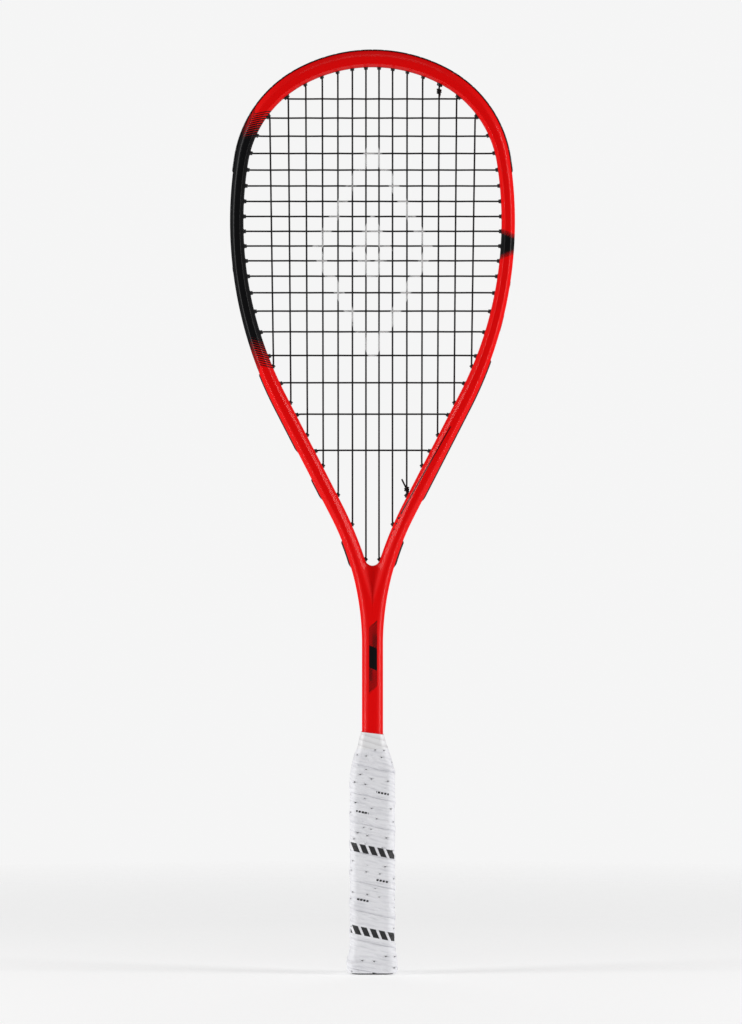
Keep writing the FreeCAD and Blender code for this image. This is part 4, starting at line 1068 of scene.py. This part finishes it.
def makeTape(shape, handle):
    # rows follow the winding, a helix that climbs one pitch a turn; columns run across the tape
    ray, perimeter = evenAngles(handle, shape["perTurn"])
    turns = (shape["high"] - shape["first"]) / shape["pitch"]
    step = np.arange(int(turns * shape["perTurn"]) + 1)
    angle = -ray[step % shape["perTurn"]] - math.pi / 2
    turn = step / shape["perTurn"]
    base = shape["first"] + shape["pitch"] * turn
    low = np.clip(base, shape["low"], shape["high"] - 1.0)
    high = np.clip(base + shape["width"], shape["low"] + 1.0, shape["high"])
    keep = high - low >= 1.5
    angle, turn, base, low, high = (part[keep][:, None] for part in (angle, turn, base, low, high))
    across = np.linspace(0, 1, shape["across"])
    across = across - 0.055 * np.sin(2 * math.pi * across)
    z = low + (high - low) * across
    place, u = z - base, turn * perimeter
    top, bottom = tapeHeights(place, z, u, base, shape)
    coarse = np.unique(np.append(np.arange(0, shape["across"], shape["coarse"]), shape["across"] - 1))
    points, values = [], {"alongTape": [], "acrossTape": []}
    for level, columns in ((-top, np.arange(shape["across"])), (-bottom, coarse)):
        pick = z[:, columns]
        x, y = handlePoint(angle + 0 * pick, pick, level[:, columns], handle)
        points.append(np.stack([x, y, pick], -1).reshape(-1, 3))
        values["alongTape"].append(np.broadcast_to(u, pick.shape).ravel())
        values["acrossTape"].append(place[:, columns].ravel())
    faces = [gridFaces(*z.shape), gridFaces(len(z), len(coarse), z.size)]
    faces += tapeEdges(len(z), shape["across"], len(coarse), shape["coarse"])
    piece = makeMesh("tape", np.concatenate(points) * mm, faces,
                     {key: np.concatenate(part) for key, part in values.items()})
    tidyMesh(piece, 60, 1e-7)
    return piece, perimeter * float(turn[-1, 0] - turn[0, 0])


# the tape's finish: off-white with pricked holes in puckered spots, fine wrinkles and slanted bars
# the second grey is painted shade in the tape's wrinkles and seams, and the grey of smudged dirt
tapeLook = {"white": (0.82, 0.82, 0.85, 1), "seamShadeAndDirt": (0.58, 0.58, 0.62, 1), "print": (0.012, 0.012, 0.014, 1),
            "hole": (0.10, 0.10, 0.11, 1), "roughness": 0.5, "pitchAlong": 12.0, "pitchAcross": 6.2,
            "holeSize": 0.36, "bars": (92.0, 31.0), "barHalf": 3.1, "barSpan": 16.2, "barPitch": 6.6,
            "smallBars": (136.0, 119.0, 71.0, 54.0), "smallHalf": 0.75, "smallSpan": 4.6, "smallAside": 7.5,
            "smallPitch": 2.3, "depth": 0.00045}


def pricked(tree, look, vector, along, across):
    # holes on a slanting lattice with a jumble of their own, kept off the laps, with puckers and star creases
    flat = node(tree, "ShaderNodeCombineXYZ", 0, {0: along / look["pitchAlong"] + across * 0.06,
                                                  1: across / look["pitchAcross"], 2: 0.0})
    cells = tree.nodes.new("ShaderNodeTexVoronoi")
    cells.voronoi_dimensions = "2D"
    cells.inputs["Randomness"].default_value = 0.55
    cells.inputs["Scale"].default_value = 1.0
    feed(tree, cells.inputs["Vector"], flat)
    spot = Value(tree, cells.outputs["Distance"]) * look["pitchAcross"]
    onFlat = across.above(5.2, 1.0) * across.below(19.5, 1.0)
    shown = onFlat * noise(tree, vector, 31.0, 1.0).above(0.45, 0.06)
    centre, here = (tree.nodes.new("ShaderNodeSeparateXYZ") for _ in range(2))
    tree.links.new(cells.outputs["Position"], centre.inputs[0])
    feed(tree, here.inputs[0], flat)
    dx, dy = (Value(tree, here.outputs[axis]) - Value(tree, centre.outputs[axis]) for axis in "XY")
    turned = (dy * look["pitchAcross"]).math("ARCTAN2", dx * look["pitchAlong"])
    rays = (turned * 5.0 + noise(tree, flat, 1.3, 1.0) * 9.0).math("COSINE") * 0.5 + 0.5
    hole = spot.below(look["holeSize"], 0.12) * shown
    return hole, spot.below(2.4, 3.4) * shown, rays.above(0.66, 0.5) * spot.below(0.95, 1.1) * shown


def barInk(look, x, z):
    # slanted bars along the tape: two broad rows and four short ones, aside in turn
    level, rows = z + x * 0.2, []
    for middle in look["bars"]:
        bar = (level - middle).size().below(look["barHalf"], 0.1) * x.size().below(look["barSpan"], 0.1)
        rows.append(bar * (x + level * 0.45).share(look["barPitch"]).below(0.68, 0.03))
    for place, middle in enumerate(look["smallBars"]):
        aside = x * (1.0 - 2.0 * (place % 2)) - look["smallAside"]
        bar = (level - middle).size().below(look["smallHalf"], 0.1)
        bar = bar * aside.size().below(look["smallSpan"], 0.1)
        rows.append(bar * (x - level * 0.3).share(look["smallPitch"]).below(0.72, 0.06))
    ink = rows[0]
    for row in rows[1:]:
        ink = ink.math("MAXIMUM", row)
    return ink


def tapeFinish(look):
    # cushioned white tape with holes, puckers, wrinkles, smudged dirt, painted shade in the wrinkles, along
    # the seams and in the holes, and a rubbed print
    material, tree, sockets = newMaterial("grip_pu", Base_Color=look["white"], Roughness=look["roughness"])
    material.use_backface_culling = False
    vector, x, y, z = objectPlace(tree)
    along, across = kept(tree, "alongTape"), kept(tree, "acrossTape")
    smudge = useHandled(tree, "Smudge")[0]
    hole, pucker, star = pricked(tree, look, vector, along, across)
    stretched = node(tree, "ShaderNodeCombineXYZ", 0, {0: along * 0.02, 1: across * 0.16, 2: 0.0})
    wrinkle, leather = noise(tree, stretched, 3.2, 5.0), noise(tree, vector, 900.0, 3.0)
    height = leather * 0.08 + wrinkle * 2.2 + pucker * 0.5 - hole * 1.4 - star * 0.9
    # the print is on the front only and rubbed through in places
    ink = barInk(look, x, z) * y.below(-3.0, 0.2) * (leather * 0.4 + smudge * 0.5).below(0.66, 0.12)
    # painted shade: the colour darkens where the wrinkles dip and along the seam at each turn's lower edge,
    # added to the smudged dirt
    wrinkleShade = (wrinkle * -1.0 + 0.52).math("MAXIMUM", 0.0) * 2.6
    dirtAndShade = (smudge - 0.45).math("MAXIMUM", 0.0) * 0.5 + across.below(0.5, 0.6) * 0.35 + wrinkleShade
    colour = mixed(tree, dirtAndShade, look["white"], look["seamShadeAndDirt"])
    # painted shade: the holes, and at a third of the strength the star creases round them, are coloured dark
    colour = mixed(tree, hole.math("MAXIMUM", star * 0.3), colour, look["hole"])
    feed(tree, sockets["Base Color"], mixed(tree, ink, colour, look["print"]))
    feed(tree, sockets["Roughness"], smudge * 0.15 + leather * 0.1 + (look["roughness"] - 0.1))
    feed(tree, sockets["Normal"], bump(tree, height, look["depth"], 0.9))
    return material


tape, tapeLength = makeTape(tapeShape, handleShape)
finishPiece(tape, tapeFinish(tapeLook), ["grip_tape"])


def handleSkin(levels, around, handle):
    # rings of the handle's section; each level is a height, an inset and a share of the ring's size
    angle = oneWayRound(around)
    z, inset, share = (np.array(column)[:, None] + 0 * angle for column in zip(*levels))
    x, y = handlePoint(angle + 0 * z, z, inset, handle)
    return x * share, y * share, z


finishShape = {
    "low": 166.6, "top": 178.7, "wall": 1.9, "around": 240, "slant": 0.12,
    "lap": 0.16, "lapAt": 172.5, "wave": 0.05,
}


def makeFinishTape(shape, handle):
    # two turns of thin tape: a closed band that slants towards the top, with a stepped lap and sine waves
    low, top, wall = shape["low"], shape["top"], shape["wall"]
    outside = [(low, 0.55), (low + 0.15, 0.2), (low + 0.5, 0.0)]
    outside += [(z, 0.0) for z in np.arange(low + 1.0, top - 0.7, 0.4)]
    outside += [(top - 0.4, 0.02), (top - 0.1, 0.2), (top, 0.5)]
    inside = [(top - 0.1, wall - 0.4), (top - 2.7, wall), (top - 6.7, wall), (low + 1.4, wall)]
    inside += [(low + 0.1, wall - 0.2)]
    x, y, z = handleSkin([level + (1.0,) for level in outside + inside], shape["around"], handle)
    z = z - shape["slant"] * x * smoothStep(z, low + 1.4, low + 5.4)
    angle, thick = oneWayRound(shape["around"]), len(outside)
    lap = shape["lap"] * smoothStep(np.sin(angle + 0.9) * 3 + z[:thick] - shape["lapAt"], -0.35, 0.35)
    lap += shape["wave"] * np.sin(angle * 9 + z[:thick]) * np.sin(angle * 4 - z[:thick] * 0.6)
    x[:thick] += lap * np.cos(angle)
    y[:thick] += lap * np.sin(angle)
    piece = makeMesh("finishTape", np.stack([x, y, z], -1).reshape(-1, 3) * mm,
                     [gridFaces(*z.shape, 0, True, True)])
    tidyMesh(piece, 50, 1e-7)
    return piece


def finishLook():
    # thin white tape with slanting turns, with painted shade in a grey band along each turn's lap and smudged
    # dirt
    material, tree, sockets = newMaterial("finish_tape", Roughness=0.42)
    vector, x, _, z = objectPlace(tree)
    grain, smudge = useHandled(tree, "Grain", "Smudge")
    turns = (z + x * 0.3 + smudge * 2.0).share(4.3).below(0.3, 0.5)
    # painted shade: a grey band at each turn of the tape, mixed with smudged dirt
    lapShadeAndDirt = mixed(tree, turns * 0.5 + smudge * 0.3, (0.84, 0.84, 0.85, 1), (0.58, 0.57, 0.58, 1))
    feed(tree, sockets["Base Color"], lapShadeAndDirt)
    weaveBump = noise(tree, vector, 300.0, 2.0, (1.0, 1.0, 6.0)) + grain * 0.3
    feed(tree, sockets["Normal"], bump(tree, weaveBump * 0.2 + turns, 0.0003, 0.6))
    return material


finishPiece(makeFinishTape(finishShape, handleShape), finishLook(), ["finishing_tape"])


capShape = {
    "high": 18.0, "under": 1.5, "skirt": 3.1, "plate": 1.6, "ring": (0.66, 0.77), "ringDeep": 0.6,
    "dish": 1.08, "dishWide": 0.5, "around": 240,
}


def makeCap(shape, handle):
    # a moulded cup: skirt under the tape, rounded end with a groove round a dished middle
    high, under, skirt, plate = (shape[key] for key in ("high", "under", "skirt", "plate"))
    (inside, outside), deep, dish, wide = shape["ring"], shape["ringDeep"], shape["dish"], shape["dishWide"]
    side = [(high, under + 0.15), (high - 0.4, under)] + [(z, under) for z in np.arange(16.5, 4.0, -1.0)]
    side += [(3.2, under), (2.2, under), (1.2, under), (0.6, 1.6), (0.25, 1.9), (0.06, 2.4), (0.0, 3.2)]
    end = [(0.0, outside + 0.05), (0.03, outside + 0.03), (deep - 0.05, outside + 0.015), (deep, outside)]
    end += [(deep, inside), (deep - 0.05, inside - 0.015), (0.12, inside - 0.03), (0.1, inside - 0.04)]
    end += [(0.1, wide), (0.35, 0.47), (0.7, 0.42), (0.95, 0.3), (1.05, 0.15), (dish, 0.02)]
    within = [(plate, skirt + 0.3, share) for share in (0.02, 0.5, 0.9)]
    wall = [(plate + 0.6, skirt), (4.0, skirt), (12.0, skirt), (high - 0.4, skirt), (high, skirt - 0.15)]
    levels = [level + (1.0,) for level in side] + [(z, 3.2, share) for z, share in end]
    levels += within + [level + (1.0,) for level in wall]
    x, y, z = handleSkin(levels, shape["around"], handle)
    piece = makeMesh("cap", np.stack([x, y, z], -1).reshape(-1, 3) * mm, [gridFaces(*z.shape, 0, True, True)])
    tidyMesh(piece, 35, 1e-7)
    return piece


capBlack = plastic("cap_plastic", (0.012, 0.012, 0.013, 1), 0.5, 0.00004, 0.3)
finishPiece(makeCap(capShape, handleShape), capBlack, ["butt_cap"])


def foam():
    # moulded foam: pale, slightly cellular
    material, tree, sockets = newMaterial("pallet_foam", Base_Color=(0.62, 0.55, 0.40, 1), Roughness=0.85)
    vector = objectPlace(tree)[0]
    grain, smudge = useHandled(tree, "Grain", "Smudge")
    feed(tree, sockets["Base Color"], mixed(tree, smudge, (0.66, 0.58, 0.42, 1), (0.50, 0.43, 0.30, 1)))
    feed(tree, sockets["Normal"], bump(tree, grain + noise(tree, vector, 700.0, 2.0), 0.00008, 0.7))
    return material


def steel():
    # drawn steel wire, dulled
    material, tree, sockets = newMaterial("staple_steel", Base_Color=(0.55, 0.55, 0.56, 1), Metallic=1.0,
                                          Roughness=0.35)
    smudge, scratch = useHandled(tree, "Smudge", "Scratch")
    feed(tree, sockets["Roughness"], smudge * 0.25 + 0.22)
    feed(tree, sockets["Base Color"], mixed(tree, scratch, (0.55, 0.55, 0.56, 1), (0.36, 0.33, 0.30, 1)))
    return material


for name, material in (("handle_pallet", foam()), ("butt_cap_staples", steel())):
    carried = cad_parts[name]
    carried.data.materials.clear()
    carried.data.materials.append(material)
print("handle made, tape", round(tapeLength), "mm long")


# a pale floor that fades into an even background, and soft lights
stageLook = {
    "white": 0.915, "ambient": 0.16, "floorPaint": 0.62, "floorGlow": 0.45, "solid": 0.5, "gone": 1.3,
    "aside": 1.6, "sidePower": 27, "topPower": 7, "backPower": 6,
}


def makeFloor(look):
    # a disc of rings; its paint dies out between two radii
    rings, around = 24, 96
    angle = oneWayRound(around)
    radius = np.linspace(0.01, look["gone"] + 0.1, rings)[:, None]
    points = np.stack([radius * np.cos(angle), radius * np.sin(angle), 0 * radius * angle], -1).reshape(-1, 3)
    faces = [gridFaces(rings, around, closedColumns=True), np.arange(around)[None, ::-1]]
    floor = makeMesh("floor", points, faces)
    material, tree, sockets = newMaterial("floor", Roughness=1.0, Specular_IOR_Level=0.0,
                                          Base_Color=(look["floorPaint"],) * 3 + (1,),
                                          Emission_Color=(1, 1, 1, 1),
                                          Emission_Strength=look["floorGlow"])
    _, x, y, _ = objectPlace(tree)
    far = (x * x + y * y).math("SQRT") / 1000.0
    middle, width = (look["gone"] + look["solid"]) / 2, look["gone"] - look["solid"]
    feed(tree, sockets["Alpha"], far.below(middle, width))
    floor.data.materials.append(material)


def makeWorld(look):
    # the background is even and white to the eye, and much dimmer as a light
    world = bpy.data.worlds.new("world")
    bpy.context.scene.world = world
    world.use_nodes = True
    tree = world.node_tree
    seen = node(tree, "ShaderNodeLightPath", "Is Camera Ray")
    background = tree.nodes["Background"].inputs
    background["Color"].default_value = (1, 1, 1, 1)
    feed(tree, background["Strength"], seen * (look["white"] - look["ambient"]) + look["ambient"])


def addLight(name, place, aim, size, power):
    data = bpy.data.lights.new(name, "AREA")
    data.shape, data.size, data.size_y = "RECTANGLE", size[0], size[1]
    data.energy = power
    light = bpy.data.objects.new(name, data)
    bpy.context.collection.objects.link(light)
    light.location = place
    light.rotation_euler = (Vector(aim) - Vector(place)).to_track_quat("-Z", "Y").to_euler()
    light.visible_camera = False


makeFloor(stageLook)
makeWorld(stageLook)
for side, word in ((-1, "Left"), (1, "Right")):
    addLight("soft" + word, (side * stageLook["aside"], -0.45, 0.5), (0, 0, 0.38), (0.6, 1.9),
             stageLook["sidePower"])
addLight("softTop", (0, -0.9, 2.3), (0, 0, 0.5), (1.6, 1.0), stageLook["topPower"])
addLight("softBack", (0, 1.8, 1.6), (0, 0, 0.4), (1.6, 1.0), stageLook["backPower"])
bpy.context.scene.view_settings.view_transform = "Standard"
print("stage and lights placed")
